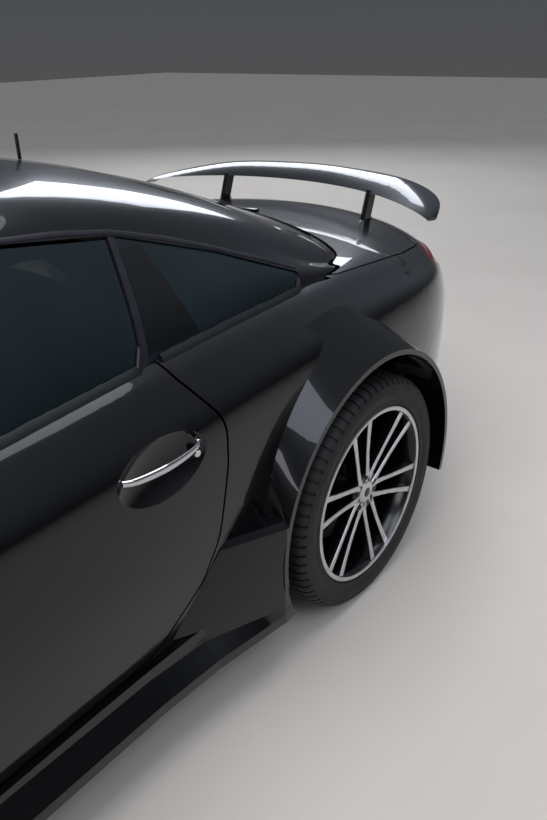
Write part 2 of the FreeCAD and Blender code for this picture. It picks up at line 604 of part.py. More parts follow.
behind = body.cut(body_bumper).common(box(-2400, -1480 - SEAM, -1100, 1100, 100, 1100))
quarter_zone = side_prism(grown(QUARTER, SEAM), -1100, 1100)
behind = behind.cut(quarter_zone).cut(lid_hole)
flare_behind = flare(REAR_ARCH).cut(body_bumper).common(box(-1800, -1450, 560, 1100, SILL_Z - 60,
                                                            660)).cut(quarter_zone)
behind = behind.fuse(flare_behind).fuse(mirrored_shape(flare_behind))
behind = behind.cut(arch_cut(REAR_ARCH)).cut(mirrored_shape(arch_cut(REAR_ARCH)))
LAMP_REAR = [(300, 700, 10), (1000, 700, 0), (1000, 1000, 0), (300, 1000, 10)]
tail_zone = front_prism(LAMP_REAR, -2400, -1780)
tail = body.cut(body_solid(40)).common(tail_zone).cut(quarter_zone).cut(lid_hole)
both("tail_lamps", tail)
tail_hole = front_prism(grown(LAMP_REAR, SEAM), -2400, -1780)
behind = behind.cut(tail_hole).cut(mirrored_shape(tail_hole))
DIFFUSER = [(-520, 100, 0), (520, 100, 0), (470, 300, 30), (-470, 300, 30)]
behind = behind.cut(front_prism(DIFFUSER, -2400, -2100))
save("rear_bumper", behind)
diffuser = body_solid(BUMPER_SKIN + SEAT).cut(body_solid(BUMPER_SKIN
                                                         + 12)).common(front_prism(grown(DIFFUSER, 14),
                                                                 -2400, -2050))
diffuser = diffuser.common(box(-2400, -2050, -800, 800, 150, 330))
for y in (-190, -65, 65, 190):
    diffuser = diffuser.fuse(box(-2280, -2114, y - 4, y + 4, 142, 230))
PIPES_Y = (-405.0, -300.0, 300.0, 405.0)
PIPE_Z = 236.0
PIPE_R = 40.0
for y in PIPES_Y:
    diffuser = diffuser.cut(bar((-2400, y, PIPE_Z), (-1950, y, PIPE_Z), PIPE_R + 8))
save("diffuser", diffuser)

# Side skirts: the sill skin and a fin that widens into the rear arch
skirt_box = side_prism([(-900, 100, 0), (-900, SILL_Z, 0), (1120, SILL_Z, 0), (1120, 100, 0)], 560, 1100)
skirt = body.cut(body_wall).common(skirt_box)
fin_wires = []
for x, reach, waist, waist_z in SKIRT_ROWS:
    fin = [(810, 142), (reach - 30, 150), (reach, 190), (reach, 218), (waist, waist_z),
           (waist, SILL_Z - SEAT), (810, SILL_Z - SEAT)]
    fin_wires.append(Part.makePolygon([V(x, y, z) for y, z in fin + fin[:1]]))
skirt = skirt.fuse(Part.makeLoft(fin_wires, True, True))
skirt = skirt.cut(arch_cut(REAR_ARCH)).cut(arch_cut(FRONT_ARCH)).cut(box(-2400, -900, 0, 1200, 0,
        400)).cut(box(1100, 2400, 0, 1200, 0, 400))
skirt = skirt.cut(door_hole).cut(body_wall)
both("side_skirts", skirt)

# Panels under the screens and the strips between the side windows
bonnet_swing = bonnet_hole.copy()
bonnet_swing.translate(V(-SHUT_GAP, 0, 0))
bonnet_room = bonnet_hole.fuse(bonnet_swing).cut(heel(BONNET_HEEL - SHUT_GAP * math.sqrt(2),
                                                      HEEL_HALF - SHUT_GAP))
save("cowl", body.cut(body_bumper).common(box(720, 1100, -743, 743, 700,
                                              1000)).cut(cabin_inner).cut(bonnet_room))
deck = body.common(box(-1900, -1000, -741, 741, 700, 1100)).cut(body_wall).common(cabin)
deck = deck.cut(box(-2000, -1262, 639, 1000, 500, 1200)).cut(box(-2000, -1262, -1000, -639, 500, 1200))
save("rear_shelf", deck)
strip = [(x - PILLAR_STRIP + SEAT, z, 0) for x, z in GLASS_SPLIT] + [(x, z, 0) for x,
        z in reversed(GLASS_SPLIT)]
strip = cabin_solid(0.5).cut(cabin_solid(12)).common(side_prism(strip, 500,
        1000)).common(side_prism(grown(SIDE_GLASS, -SEAT), 500, 1000))
strip = strip.cut(body_seat)
both("pillar_strips", strip)

# Mirrors and handles on the doors
mx, my, mz = MIRROR
head = box(mx - 55, mx + 70, my - 62, my + 62, mz - 46, mz + 50)
head = head.makeFillet(30, head.Edges)


def slab(x0, x1, y0, y1, z0, z1):
    """The outline of a mirror foot's end, rising from its inner to its outer edge."""
    corners = [V(x0, y0, z0), V(x1, y0, z0), V(x1, y1, z1), V(x0, y1, z1)]
    return Part.makePolygon(corners + corners[:1])


stalk = Part.makeLoft([slab(mx - 30, mx + 50, 815, 870, 870, 870),
                       slab(mx - 20, mx + 40, my - 45, my - 20, mz - 40, mz - 14)], True, True)
mirror = head.fuse(stalk).cut(body_seat).cut(cabin_solid(-SEAT))
pair("mirror", mirror)
pair("door_handle", plan_prism(GRIP, GRIP_Z[0], GRIP_Z[1]).cut(body_seat), 500.0)

# Frame: floor, tunnel, sills, bulkheads and rails, trimmed to the panels they carry
inside_wall = body_solid(SIDE_WALL + SEAT)
inside_skin = body_solid(BUMPER_SKIN + SEAT)
floor_low, floor_top = FLOOR_Z
frame = box(-760, 716, -704, 704, floor_low, floor_top)
frame = frame.fuse(box(-730, 700, -TUNNEL[0], TUNNEL[0], floor_low, TUNNEL[1]))
frame = frame.cut(box(-780, 690, -TUNNEL[0] + 12, TUNNEL[0] - 12, floor_low - 10, TUNNEL[1] - 12))
for side in (1, -1):
    y0, y1 = sorted((side * 700, side * 860))
    frame = frame.fuse(box(-760, 716, y0, y1, floor_low, 290).common(inside_wall))
    y0, y1 = sorted((side * 390, side * 450))
    frame = frame.fuse(box(700, 2000, y0, y1, 300, 400))
    y0, y1 = sorted((side * 380, side * 440))
    frame = frame.fuse(box(-2150, -740, y0, y1, 400, 480))
    y0, y1 = sorted((side * 762, side * 800))
    frame = frame.fuse(box(712, 1150, y0, y1, 640, 900).common(body_solid(WING_SKIN + SEAT)))
dash_panel = box(692, 716, -1000, 1000, SILL_Z, 1000).common(inside_skin).cut(cabin_solid(-SEAT))
frame = frame.fuse(dash_panel.cut(box(600, 800, -752, 752, 840, 1200)))
frame = frame.fuse(box(692, 716, -1000, 1000, floor_low, SILL_Z).common(inside_wall))
frame = frame.fuse(box(-760, -736, -1000, 1000, floor_low, 880).common(inside_wall))
frame = frame.cut(box(-780, -720, -TUNNEL[0] + 12, TUNNEL[0] - 12, floor_low - 10, 190))
frame = frame.fuse(box(1960, 1984, -1000, 1000, 200, 580).common(inside_skin))
frame = frame.fuse(box(-2150, -2130, -1000, 1000, 310, 640).common(inside_skin))
frame = frame.fuse(box(-2150, -1620, -640, 640, 440, 460).common(inside_skin)).fuse(box(-1620, -740, -600,
        600, 440, 460))
for x in (-JACK_X, JACK_X):
    for side in (1, -1):
        y0, y1 = sorted((side * 690, side * 745))
        frame = frame.fuse(box(x - 35, x + 35, y0, y1, JACK_Z, floor_low + 10))
frame = frame.cut(door_hole).cut(mirrored_shape(door_hole))
for z in HINGE_LEVELS:
    top = z + HINGE_HEIGHT
    arm = box(HINGE_X - 5.5, HINGE_X + 5.5, HINGE_ARM_Y, HINGE_Y, z,
              top).fuse(bar((HINGE_X, HINGE_Y, z), (HINGE_X, HINGE_Y, top), 5.5))
    arm = arm.fuse(bar((HINGE_X, HINGE_Y, z - 20), (HINGE_X, HINGE_Y, top + 20),
                       HINGE_PIN)).fuse(box(HINGE_X - 5.5, 700, HINGE_ARM_Y, HINGE_ARM_Y + 14, z, top))
    frame = frame.fuse(arm).fuse(mirrored_shape(arm))
save("body_frame", frame)

# Arch liners
liners = []
for arch, reach, y0, y1, low in ((REAR_ARCH, 8, 630, 850, 300), (FRONT_ARCH, 6, 505, 880, 240)):
    r = arch["radius"] + reach
    ring = Part.makeCylinder(r + 5, y1 - y0, V(arch["x"], y0, arch["z"]), V(0, 1, 0))
    ring = ring.cut(Part.makeCylinder(r, y1 - y0 + 2, V(arch["x"], y0 - 1, arch["z"]), V(0, 1, 0)))
    ring = ring.common(box(arch["x"] - 600, arch["x"] + 600, 0, 1100, low,
                           1200)).common(inside_wall).cut(frame)
    liners += [ring, mirrored_shape(ring)]
save("arch_liners", Part.makeCompound([s for piece in liners for s in piece.Solids]))


def turned(profile):
    """A ring about a wheel's axle from a profile of radius and distance outboard of the tread's middle."""
    face = Part.Face(Part.makePolygon([V(0, y, r) for r, y in profile + profile[:1]]))
    return face.revolve(V(0, 0, 0), V(0, 1, 0), 360)


def on_axle(shape, wheel):
    shape = shape.copy()
    shape.translate(V(wheel["x"], wheel["y"], wheel["radius"]))
    return shape


def make_wheel(label, wheel):
    half, seat = wheel["width"] / 2, wheel["rim"] - 12.0
    big = wheel["radius"]
    tyre = turned([(big, 34 - half), (big, half - 34), (big - 16, half - 6), (big - 42, half),
                   (seat, half - 20),
                   (seat, 20 - half), (big - 42, -half), (big - 16, 6 - half)])
    out = seat - SEAT
    rim = turned([(out, half - 15), (seat + 12, half - 15), (seat + 12, half - 8), (seat + 8, half - 6),
                  (seat - 2, half - 8),
                  (seat - 8, half - 22), (seat - 15, half - 50), (seat - 15, 8 - half),
                  (seat + 12, 8 - half), (seat + 12, 15 - half),
                  (out, 15 - half)])
    dish = turned([(20, half - 36), (60, half - 33), (160, half - 21), (seat - 1, half - 10),
                   (seat - 1, half - 46), (160, half - 60),
                   (62, half - 84), (20, half - 84)])
    spokes = []
    for k in range(SPOKES // 2):
        for sign in (1, -1):
            def at(r, lead):
                a = math.radians(45 + 60 * k + sign * lead)
                return V(-r * math.cos(a), half - 90, r * math.sin(a))
            tip = seat - 4
            inner = Part.Arc(at(50, 12), at(150, 8.6), at(tip, 8.0)).toShape()
            outer = Part.Arc(at(50, 29.5), at(150, 14.4), at(tip, 11.6)).toShape()
            wire = Part.Wire([inner, Part.makeLine(at(tip, 8.0), at(tip, 11.6)), outer,
                              Part.makeLine(at(50, 29.5), at(50, 12))])
            spokes.append(Part.Face(wire).extrude(V(0, 100, 0)).common(dish))
    hub = Part.makeCylinder(66, 50, V(0, half - 84, 0), V(0, 1, 0))
    rim = rim.multiFuse(spokes + [hub]).cut(Part.makeCylinder(HUB_BORE, 40, V(0, half - 84, 0), V(0, 1, 0)))
    disc = turned([(HUB_BORE, half - 84), (98, half - 84), (98, half - 125), (DISC_R, half - 125),
                   (DISC_R, half - 155),
                   (88, half - 155), (88, half - 92), (HUB_BORE, half - 92)])
    for name, shape in (("tyre", tyre), ("rim", rim), ("brake_disc", disc)):
        pair(f"{name}_{label}", on_axle(shape, wheel))


make_wheel("rear", REAR_WHEEL)
make_wheel("front", FRONT_WHEEL)


def carrier(wheel):
    """Spindle, plate and caliper that stand inside a wheel."""
    half = wheel["width"] / 2
    spindle = Part.makeCylinder(HUB_BORE - SPINDLE_GAP, 116, V(0, half - 162, 0), V(0, 1, 0))
    plate = Part.makeCylinder(84, 20, V(0, half - 181, 0), V(0, 1, 0))
    caliper = turned([(70, half - 186), (206, half - 186), (206, half - 96), (112, half - 96),
                      (112, half - 119), (184, half - 119),
                      (184, half - 161), (70, half - 161)])
    wedge = Part.Face(Part.makePolygon([V(0, half - 200, 0), V(-300, half - 200, 130),
                                        V(-300, half - 200, -130), V(0, half - 200, 0)])).extrude(V(0,
                                                120, 0))
    return spindle.fuse(plate).fuse(caliper.common(wedge))


# Rear axle: hub carriers, arms and a cross member
rear = on_axle(carrier(REAR_WHEEL), REAR_WHEEL)
rz = REAR_WHEEL["radius"]
ry = REAR_WHEEL["y"] + REAR_WHEEL["width"] / 2 - 176
rear = rear.fuse(bar((X_REAR, 150, rz), (X_REAR, ry, rz), 22)).fuse(bar((X_REAR + 90, 300, 210),
        (X_REAR, ry, 290), 18))
rear = rear.fuse(bar((X_REAR - 90, 300, 210), (X_REAR, ry, 290), 18)).fuse(bar((X_REAR, 400, 520),
        (X_REAR, ry, 425), 16))
rear = rear.fuse(box(X_REAR - 50, X_REAR + 50, ry - 6, ry + 12, 280, 430))
rear_axle = rear.fuse(mirrored_shape(rear)).fuse(box(X_REAR - 110, X_REAR + 110, -310, 310, 190, 240))
rear_axle = rear_axle.fuse(box(X_REAR - 90, X_REAR + 90, -150, 150, 230, 430))
rear_axle = rear_axle.fuse(box(X_REAR - 40, X_REAR + 40, -470, 470, 500, 540))
rear_axle = rear_axle.cut(frame.common(box(-1400, -900, -700, 700, 350, 480)))
save("rear_axle", rear_axle)

# Front axle: arms that end in the pins the knuckles turn on
fy = FRONT_WHEEL["y"] + FRONT_WHEEL["width"] / 2 - 176
PIN_R = 11.0
SUBFRAME_TOP = 235.0
knuckle = on_axle(carrier(FRONT_WHEEL), FRONT_WHEEL)
upright = Part.makeCylinder(28, 290, V(X_FRONT, KINGPIN_Y, 205), V(0, 0, 1))
upright = upright.fuse(box(X_FRONT - 30, X_FRONT + 30, KINGPIN_Y, fy + 10, 280, 400))
upright = upright.cut(Part.makeCylinder(PIN_R, 34, V(X_FRONT, KINGPIN_Y, 204),
                                        V(0, 0, 1))).cut(Part.makeCylinder(PIN_R, 34,
                                                V(X_FRONT, KINGPIN_Y, 462), V(0, 0, 1)))
pair("knuckle", knuckle.fuse(upright))
front = Part.makeCylinder(30, 20, V(X_FRONT, KINGPIN_Y, 184.7),
                          V(0, 0, 1)).fuse(Part.makeCylinder(30, 16, V(X_FRONT, KINGPIN_Y, 495.3),
                                  V(0, 0, 1)))
front = front.fuse(Part.makeCylinder(PIN_R - SPINDLE_GAP, 30, V(X_FRONT, KINGPIN_Y, 204), V(0, 0, 1)))
front = front.fuse(Part.makeCylinder(PIN_R - SPINDLE_GAP, 32, V(X_FRONT, KINGPIN_Y, 465), V(0, 0, 1)))
front = front.fuse(box(X_FRONT - 25, X_FRONT + 25, 340, KINGPIN_Y, 186, 202)).fuse(box(X_FRONT - 20,
        X_FRONT + 20, 440, KINGPIN_Y, 496, 510))
front = front.fuse(bar((X_FRONT, 520, 195), (X_FRONT, 500, 700), 34))
front_axle = front.fuse(mirrored_shape(front)).fuse(box(X_FRONT - 60, X_FRONT + 60, -450, 450, 170,
                                                        SUBFRAME_TOP)).fuse(box(X_FRONT - 40,
                                                                X_FRONT + 40, -520, 520, 690, 715))
for side in (1, -1):
    y0, y1 = sorted((side * (450 + SEAT), side * 492))
    front_axle = front_axle.fuse(box(X_FRONT - 60, X_FRONT + 60, y0, y1, SUBFRAME_TOP - 20, 700))
    y0, y1 = sorted((side * 390, side * 450))
    front_axle = front_axle.fuse(box(X_FRONT - 50, X_FRONT + 50, y0, y1, SUBFRAME_TOP - 1, 300 - SEAT))
save("front_axle", front_axle)

# Heavy and plain masses
save("engine", box(980, 1330, -230, 230, 250, 640).fuse(box(1330, 1620, -250, 250, SUBFRAME_TOP + SEAT,
                                                            660)))
exhaust = box(-2110, -1740, -380, 380, 186, 310)
for y in PIPES_Y:
    exhaust = exhaust.fuse(bar((-2294, y, PIPE_Z), (-2080, y, PIPE_Z),
                               PIPE_R).cut(bar((-2300, y, PIPE_Z), (-2200, y, PIPE_Z), PIPE_R - 4)))
exhaust = exhaust.fuse(bar((-1760, 60, 150), (-1760, 60, 250), 30)).fuse(bar((-1760, -60, 150),
        (-1760, -60, 250), 30))
for y in (-60, 60):
    exhaust = exhaust.fuse(bar((-1790, y, 150), (900, y, 132), 28))
for y in (-220, 220):
    exhaust = exhaust.fuse(bar((-1900, y, 300), (-1900, y, 440 - SEAT), 6))
save("exhaust", exhaust)

# Cabin
dash = box(500, 692 - SEAT, -700, 700, 560, 800).fuse(box(560, 692 - SEAT, -700, 700, 420, 570))
dash = dash.makeFillet(40,
                       [e for e in dash.Edges if abs(e.BoundBox.YLength - 1400) < 1
                        and e.BoundBox.XMax < 505 and e.BoundBox.ZMin > 700])
tilt = V(-math.cos(math.radians(STEER_TILT)), 0, math.sin(math.radians(STEER_TILT)))
hub_point = V(*STEER_CENTRE)
column = Part.makeCylinder(32, 150, hub_point - tilt * 172,
                           tilt).fuse(Part.makeCylinder(9.7, 49, hub_point - tilt * 40, tilt))
save("dashboard", dash.fuse(column))
ring = Part.makeTorus(STEER_R, 16, hub_point, tilt)
boss = Part.makeCylinder(62, 40, hub_point - tilt * 20, tilt)
across, upward = V(0, 1, 0), tilt.cross(V(0, 1, 0))
wheel_arms = [bar(tuple(hub_point), tuple(hub_point + d * (STEER_R - 4)), 14) for d in (across,
        across * -1, upward * (-1 if upward.z > 0 else 1))]
boss = boss.multiFuse(wheel_arms + [ring]).cut(Part.makeCylinder(10, 50, hub_point - tilt * 40, tilt))
save("steering_wheel", boss)
seat_base = box(-280, 240, SEAT_Y - 250, SEAT_Y + 250, 300, 430)
seat_base = seat_base.makeFillet(50, [e for e in seat_base.Edges if e.BoundBox.ZMin > 425])
back = side_prism([(-180, 380, 0), (-330, 400, 40), (-600, 960, 60), (-480, 1000, 60)], SEAT_Y - 240,
                  SEAT_Y + 240)
rails = box(-240, 200, SEAT_Y - 200, SEAT_Y - 160, floor_top + SEAT,
            301).fuse(box(-240, 200, SEAT_Y + 160, SEAT_Y + 200, floor_top + SEAT, 301))
both("seats", seat_base.fuse(back).fuse(rails))
save("console", box(-420, 470, -110, 110, TUNNEL[1] + SEAT, 470).fuse(box(300, 559, -110, 110, 400, 555)))
mast = Part.makeCone(14, 6, 24, V(-826, 0, 1200), V(0, 0, 1)).fuse(Part.makeCylinder(5, 110,
        V(-826, 0, 1200), V(0, 0, 1)))
save("antenna", mast.cut(cabin_solid(-SEAT)), 500.0)
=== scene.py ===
import bpy
import bmesh
import math
from mathutils import Matrix, Vector
from mathutils.bvhtree import BVHTree


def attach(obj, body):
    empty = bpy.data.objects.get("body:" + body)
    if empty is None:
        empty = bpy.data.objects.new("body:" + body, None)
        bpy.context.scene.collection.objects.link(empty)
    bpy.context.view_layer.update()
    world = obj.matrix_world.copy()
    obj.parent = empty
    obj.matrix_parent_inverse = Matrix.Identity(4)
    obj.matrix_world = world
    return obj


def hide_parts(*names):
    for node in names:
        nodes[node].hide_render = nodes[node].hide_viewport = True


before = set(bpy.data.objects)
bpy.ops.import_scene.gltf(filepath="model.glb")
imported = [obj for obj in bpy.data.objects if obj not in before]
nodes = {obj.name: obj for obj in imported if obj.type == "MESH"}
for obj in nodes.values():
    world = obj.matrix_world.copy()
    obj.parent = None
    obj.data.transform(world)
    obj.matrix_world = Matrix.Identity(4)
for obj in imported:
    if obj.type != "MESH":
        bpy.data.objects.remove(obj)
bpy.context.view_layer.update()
MM = 0.001
SIDES = (("left", 1), ("right", -1))

# Named places, in millimetres, the same as in the part's source
REAR_WHEEL = {"x": -1165.0, "radius": 351.5, "width": 322.0, "rim": 266.0, "y": 815.0}
FRONT_WHEEL = {"x": 1395.0, "radius": 334.0, "width": 264.0, "rim": 253.0, "y": 822.0}
# How far the rim's flange stands over the seat of the tyre's bead
FLANGE = 12.0
STEER_CENTRE = (395.0, 370.0, 745.0)
STEER_TILT = 24.0
SEAT_Y = 370.0
MIRROR = (545.0, 985.0, 985.0)
STRUT_X = -2046.0
STRUT_Y = 362.0
PIPES_Y = (-405.0, -300.0, 300.0, 405.0)
PIPE_Z = 236.0
PLATE_X = -2284.3
LAMP_TOP = 858.0
# The height that the lathe's rings are drawn about on all four wheels
AXLE_Z = 342.0
# Where the rays that look for a panel start, outside the car
BESIDE, ABOVE, BEFORE, BEHIND = 1300.0, 1400.0, 2600.0, -2600.0
# Where rays start inside the cabin: ahead to the dashboard, sideways to a door, down to the floor
INNER_X, INNER_Y, INNER_Z = -200.0, 500.0, 298.0


# Materials: one function for the colours, one that adds a node
def linear(hex_colour):
    """sRGB hex to the linear colour that the shaders take."""
    parts = [int(hex_colour[i:i + 2], 16) / 255 for i in (1, 3, 5)]
    return tuple(c / 12.92 if c <= 0.04045 else ((c + 0.055) / 1.055) ** 2.4 for c in parts) + (1.0,)


def add(tree, kind, inputs=None, **settings):
    """Adds one shader node; inputs maps sockets to values or to output sockets, stops are a colour band."""
    node = tree.nodes.new(kind)
    for place, (stop, colour) in enumerate(settings.pop("stops", [])):
        band = node.color_ramp.elements
        step = band[place] if place < 2 else band.new(stop)
        step.position = stop
        step.color = linear(colour)
    for key, value in settings.items():
        setattr(node, key, value)
    for key, value in (inputs or {}).items():
        if isinstance(value, bpy.types.NodeSocket):
            tree.links.new(value, node.inputs[key])
        else:
            node.inputs[key].default_value = value
    return node


def surface(name, period, detail, dark, light, **sockets):
    """A new material whose colour drifts between two tones over a period in mm; its bump and gloss follow."""
    mat = bpy.data.materials.new(name)
    mat.use_nodes = True
    tree = mat.node_tree
    shader = tree.nodes["Principled BSDF"]
    for key, value in sockets.items():
        shader.inputs[key.replace("_", " ")].default_value = value
    coords = add(tree, "ShaderNodeTexCoord")
    scaled = add(tree, "ShaderNodeVectorMath", {0: coords.outputs["Object"], 1: (1000.0, 1000.0, 1000.0)},
                 operation="MULTIPLY")
    place = scaled.outputs[0]
    cloud = add(tree, "ShaderNodeTexNoise", {"Vector": place, "Scale": 1 / period, "Detail": detail})
    tone = add(tree, "ShaderNodeValToRGB", {"Fac": cloud.outputs["Fac"]}, stops=[(0.3, dark), (0.7, light)])
    tree.links.new(tone.outputs["Color"], shader.inputs["Base Color"])
    return mat, tree, shader, place, cloud.outputs["Fac"]


def wired(mat, tree, shader, gloss, relief):
    """Links a gloss and a relief to the shader and gives back the material."""
    tree.links.new(gloss.outputs["Result"], shader.inputs["Roughness"])
    tree.links.new(relief.outputs["Normal"], shader.inputs["Normal"])
    return mat


def finish_of(name, dark, light, smooth, rough, grain, depth, **sockets):
    """A finish with two tones, wear in its gloss and a grain of the given size and depth in millimetres."""
    mat, tree, shader, place, _ = surface(name, grain * 40, 3.0, dark, light, **sockets)
    wear = add(tree, "ShaderNodeTexNoise", {"Vector": place, "Scale": 1 / (grain * 14), "Detail": 4.0})
    gloss = add(tree, "ShaderNodeMapRange", {"Value": wear.outputs["Fac"], "To Min": smooth,
                                             "To Max": rough})
    grit = add(tree, "ShaderNodeTexNoise", {"Vector": place, "Scale": 1 / grain, "Detail": 2.0})
    relief = add(tree, "ShaderNodeBump", {"Height": grit.outputs["Fac"], "Strength": 0.35,
                                          "Distance": depth * MM})
    return wired(mat, tree, shader, gloss, relief)


def body_paint():
    """Black base coat under clear lacquer, sprayed: mirror gloss with a faint orange peel of about 3 mm."""
    mat, tree, shader, place, _ = surface("lacquered_black_body_paint", 240.0, 3.0, "#040405", "#070709",
                                          Specular_IOR_Level=0.12, Coat_Weight=1.0,
                                          Coat_Roughness=0.015, Coat_IOR=1.38)
    film = add(tree, "ShaderNodeTexNoise", {"Vector": place, "Scale": 1 / 90.0, "Detail": 2.0})
    gloss = add(tree, "ShaderNodeMapRange", {"Value": film.outputs["Fac"], "To Min": 0.2, "To Max": 0.28})
    peel = add(tree, "ShaderNodeTexNoise", {"Vector": place, "Scale": 1 / 3.0, "Detail": 0.0})
    relief = add(tree, "ShaderNodeBump", {"Height": peel.outputs["Fac"], "Strength": 0.02,
                                          "Distance": 0.05 * MM})
    return wired(mat, tree, shader, gloss, relief)


def pane(name, dark, light, alpha):
    """Float glass or clear plastic: smooth, with a slow waviness of about 300 mm that bends reflections."""
    mat, tree, shader, _, cloud = surface(name, 300.0, 1.0, dark, light,
                                          Roughness=0.02, Specular_IOR_Level=0.5, Alpha=alpha, IOR=1.5)
    relief = add(tree, "ShaderNodeBump", {"Height": cloud, "Strength": 0.05, "Distance": 0.5 * MM})
    tree.links.new(relief.outputs["Normal"], shader.inputs["Normal"])
    return mat


def turned_metal(name, dark, light, pitch, smooth, rough):
    """Metal faced on a lathe about the wheel's axle: fine rings, their pitch drawn coarse enough to show."""
    mat, tree, shader, place, cloud = surface(name, 40.0, 3.0, dark, light, Metallic=1.0)
    middle = add(tree, "ShaderNodeSeparateXYZ", {"Vector": place})
    rear_dx = add(tree, "ShaderNodeMath", {0: middle.outputs["X"], 1: -REAR_WHEEL["x"]}, operation="ADD")
    front_dx = add(tree, "ShaderNodeMath", {0: middle.outputs["X"], 1: -FRONT_WHEEL["x"]}, operation="ADD")
    nearer = add(tree, "ShaderNodeMath", {0: middle.outputs["X"], 1: 0.0}, operation="GREATER_THAN")
    dx = add(tree, "ShaderNodeMix", {0: nearer.outputs[0], 2: rear_dx.outputs[0], 3: front_dx.outputs[0]},
             data_type="FLOAT")
    dz = add(tree, "ShaderNodeMath", {0: middle.outputs["Z"], 1: -AXLE_Z}, operation="ADD")
    flat = add(tree, "ShaderNodeCombineXYZ", {"X": dx.outputs[0], "Y": dz.outputs[0]})
    out = add(tree, "ShaderNodeVectorMath", {0: flat.outputs["Vector"]}, operation="LENGTH")
    phase = add(tree, "ShaderNodeMath", {0: out.outputs["Value"], 1: 2 * math.pi / pitch},
                operation="MULTIPLY")
    rings = add(tree, "ShaderNodeMath", {0: phase.outputs[0]}, operation="SINE")
    gloss = add(tree, "ShaderNodeMapRange", {"Value": cloud, "To Min": smooth, "To Max": rough})
    relief = add(tree, "ShaderNodeBump", {"Height": rings.outputs[0], "Strength": 0.1,
                                          "Distance": 0.04 * MM})
    return wired(mat, tree, shader, gloss, relief)


def dyed_hide(name, dark, light):
    """Finished cow hide: a cell grain of about 2 mm with soft creases, and a sheen of its own."""
    mat, tree, shader, place, cloud = surface(name, 80.0, 4.0, dark, light,
                                              Specular_IOR_Level=0.4, Sheen_Weight=0.15)
    gloss = add(tree, "ShaderNodeMapRange", {"Value": cloud, "To Min": 0.38, "To Max": 0.52})
    cells = add(tree, "ShaderNodeTexVoronoi", {"Vector": place, "Scale": 1 / 2.2})
    relief = add(tree, "ShaderNodeBump", {"Height": cells.outputs["Distance"], "Strength": 0.35,
                                          "Distance": 0.25 * MM})
    return wired(mat, tree, shader, gloss, relief)


# Two-layer black body paint: deep and glossy, with a faint orange peel
paint = body_paint()
# Dyed laminated glass: nearly black from outside, with the cabin just visible
side_glass = pane("dark_tinted_safety_glass", "#0f191b", "#18252a", 0.84)
# Laminated windscreen: a light green cast, clear enough for the cabin
screen_glass = pane("laminated_windscreen_glass", "#0d1512", "#111a16", 0.4)
# Injection-moulded polycarbonate: clear lamp covers
lamp_cover = pane("clear_moulded_polycarbonate", "#7d8489", "#8d9499", 0.13)
# Red acrylic, moulded: a deep red that glows at thin edges
red_lens = pane("red_moulded_acrylic", "#6d0307", "#8c070c", 0.82)
# Silver-backed mirror glass: nearly full reflection with a cool cast
mirror_glass = finish_of("silvered_mirror_glass", "#aeb4ba", "#b8bec4", 0.01, 0.03, 8.0, 0.01, Metallic=1.0)
# Anodised aluminium, brushed along: satin violet grey
rail_trim = finish_of("satin_anodised_rail", "#25232a", "#2e2c34", 0.3, 0.42, 1.0, 0.02, Metallic=0.5)
# Co-extruded vinyl, satin: dark moulding with a soft highlight
belt_trim = finish_of("satin_vinyl_moulding", "#101012", "#17171a", 0.3, 0.42, 1.0, 0.04)
# Ceramic frit fired on glass: dull black, seen under the pane's edge
frit = finish_of("fired_black_frit", "#050505", "#080808", 0.12, 0.2, 1.0, 0.01)
# Polypropylene with a spark-eroded grain of about 1.4 mm: dull, slightly grey
grained_plastic = finish_of("grained_polypropylene", "#0d0d0e", "#161617", 0.5, 0.65, 1.4, 0.14)
# Gloss ABS: smooth black fillets and covers
gloss_plastic = finish_of("polished_black_abs", "#050506", "#09090a", 0.08, 0.16, 2.0, 0.01)
# Butyl rubber seal, extruded: soft dull black
seal_rubber = finish_of("extruded_seal_rubber", "#0b0b0b", "#121212", 0.6, 0.75, 0.9, 0.08)
# Underbody wax on steel: rough and blotched, with stone chips
underseal = finish_of("sprayed_underseal", "#0b0b0c", "#161616", 0.5, 0.72, 2.5, 0.4)
# Vulcanised tread rubber: warm charcoal with a dusty sheen
tyre_rubber = finish_of("vulcanised_tyre_rubber", "#0c0b0b", "#191716", 0.55, 0.78, 1.6, 0.1)
# Chromium plate over plastic: bright, with a barely wavy reflection
chrome = finish_of("bright_chromium_plate", "#c6c8cb", "#d4d6d9", 0.04, 0.1, 3.0, 0.01, Metallic=1.0)
# Stove enamel: the black barrel and the pockets between the spokes
rim_enamel = finish_of("stoved_black_enamel", "#050506", "#0a0a0b", 0.16, 0.26, 2.0, 0.02)
# Aluminium faced with a diamond tool: bright spoke fronts with a fine sheen of rings
spoke_face = turned_metal("diamond_turned_aluminium", "#c4c5c7", "#dadbdc", 1.6, 0.34, 0.46)
# Grey iron, turned: dull rings from the pads
disc_iron = turned_metal("turned_grey_iron", "#3c3b3a", "#5a5856", 2.4, 0.32, 0.5)
# Nodular iron, sand cast: dark and pitted
cast_iron = finish_of("sand_cast_iron", "#151515", "#232221", 0.5, 0.72, 2.2, 0.3, Metallic=0.4)
# Aluminium, pressure die cast: mid grey with a fine skin
die_cast = finish_of("die_cast_aluminium", "#46474a", "#646669", 0.38, 0.58, 2.0, 0.18, Metallic=0.8)
# Stainless steel, drawn and brushed: pipes with soft streaks
pipe_steel = finish_of("brushed_stainless_pipe", "#7d7c79", "#9b9996", 0.2, 0.34, 1.4, 0.03, Metallic=1.0)
# Vapour-coated reflector: mirror bowl of the lamps
reflector = finish_of("aluminised_reflector", "#b4b7ba", "#c8cacd", 0.06, 0.12, 4.0, 0.02, Metallic=1.0)
# Amber acrylic, moulded: indicators
amber_lens = finish_of("amber_moulded_acrylic", "#8a3a02", "#a24a06", 0.06, 0.12, 3.0, 0.02)
# Cow hide, dyed and finished: the seats' and wheel's cover
leather = dyed_hide("dyed_black_hide", "#0d0d0e", "#191819")
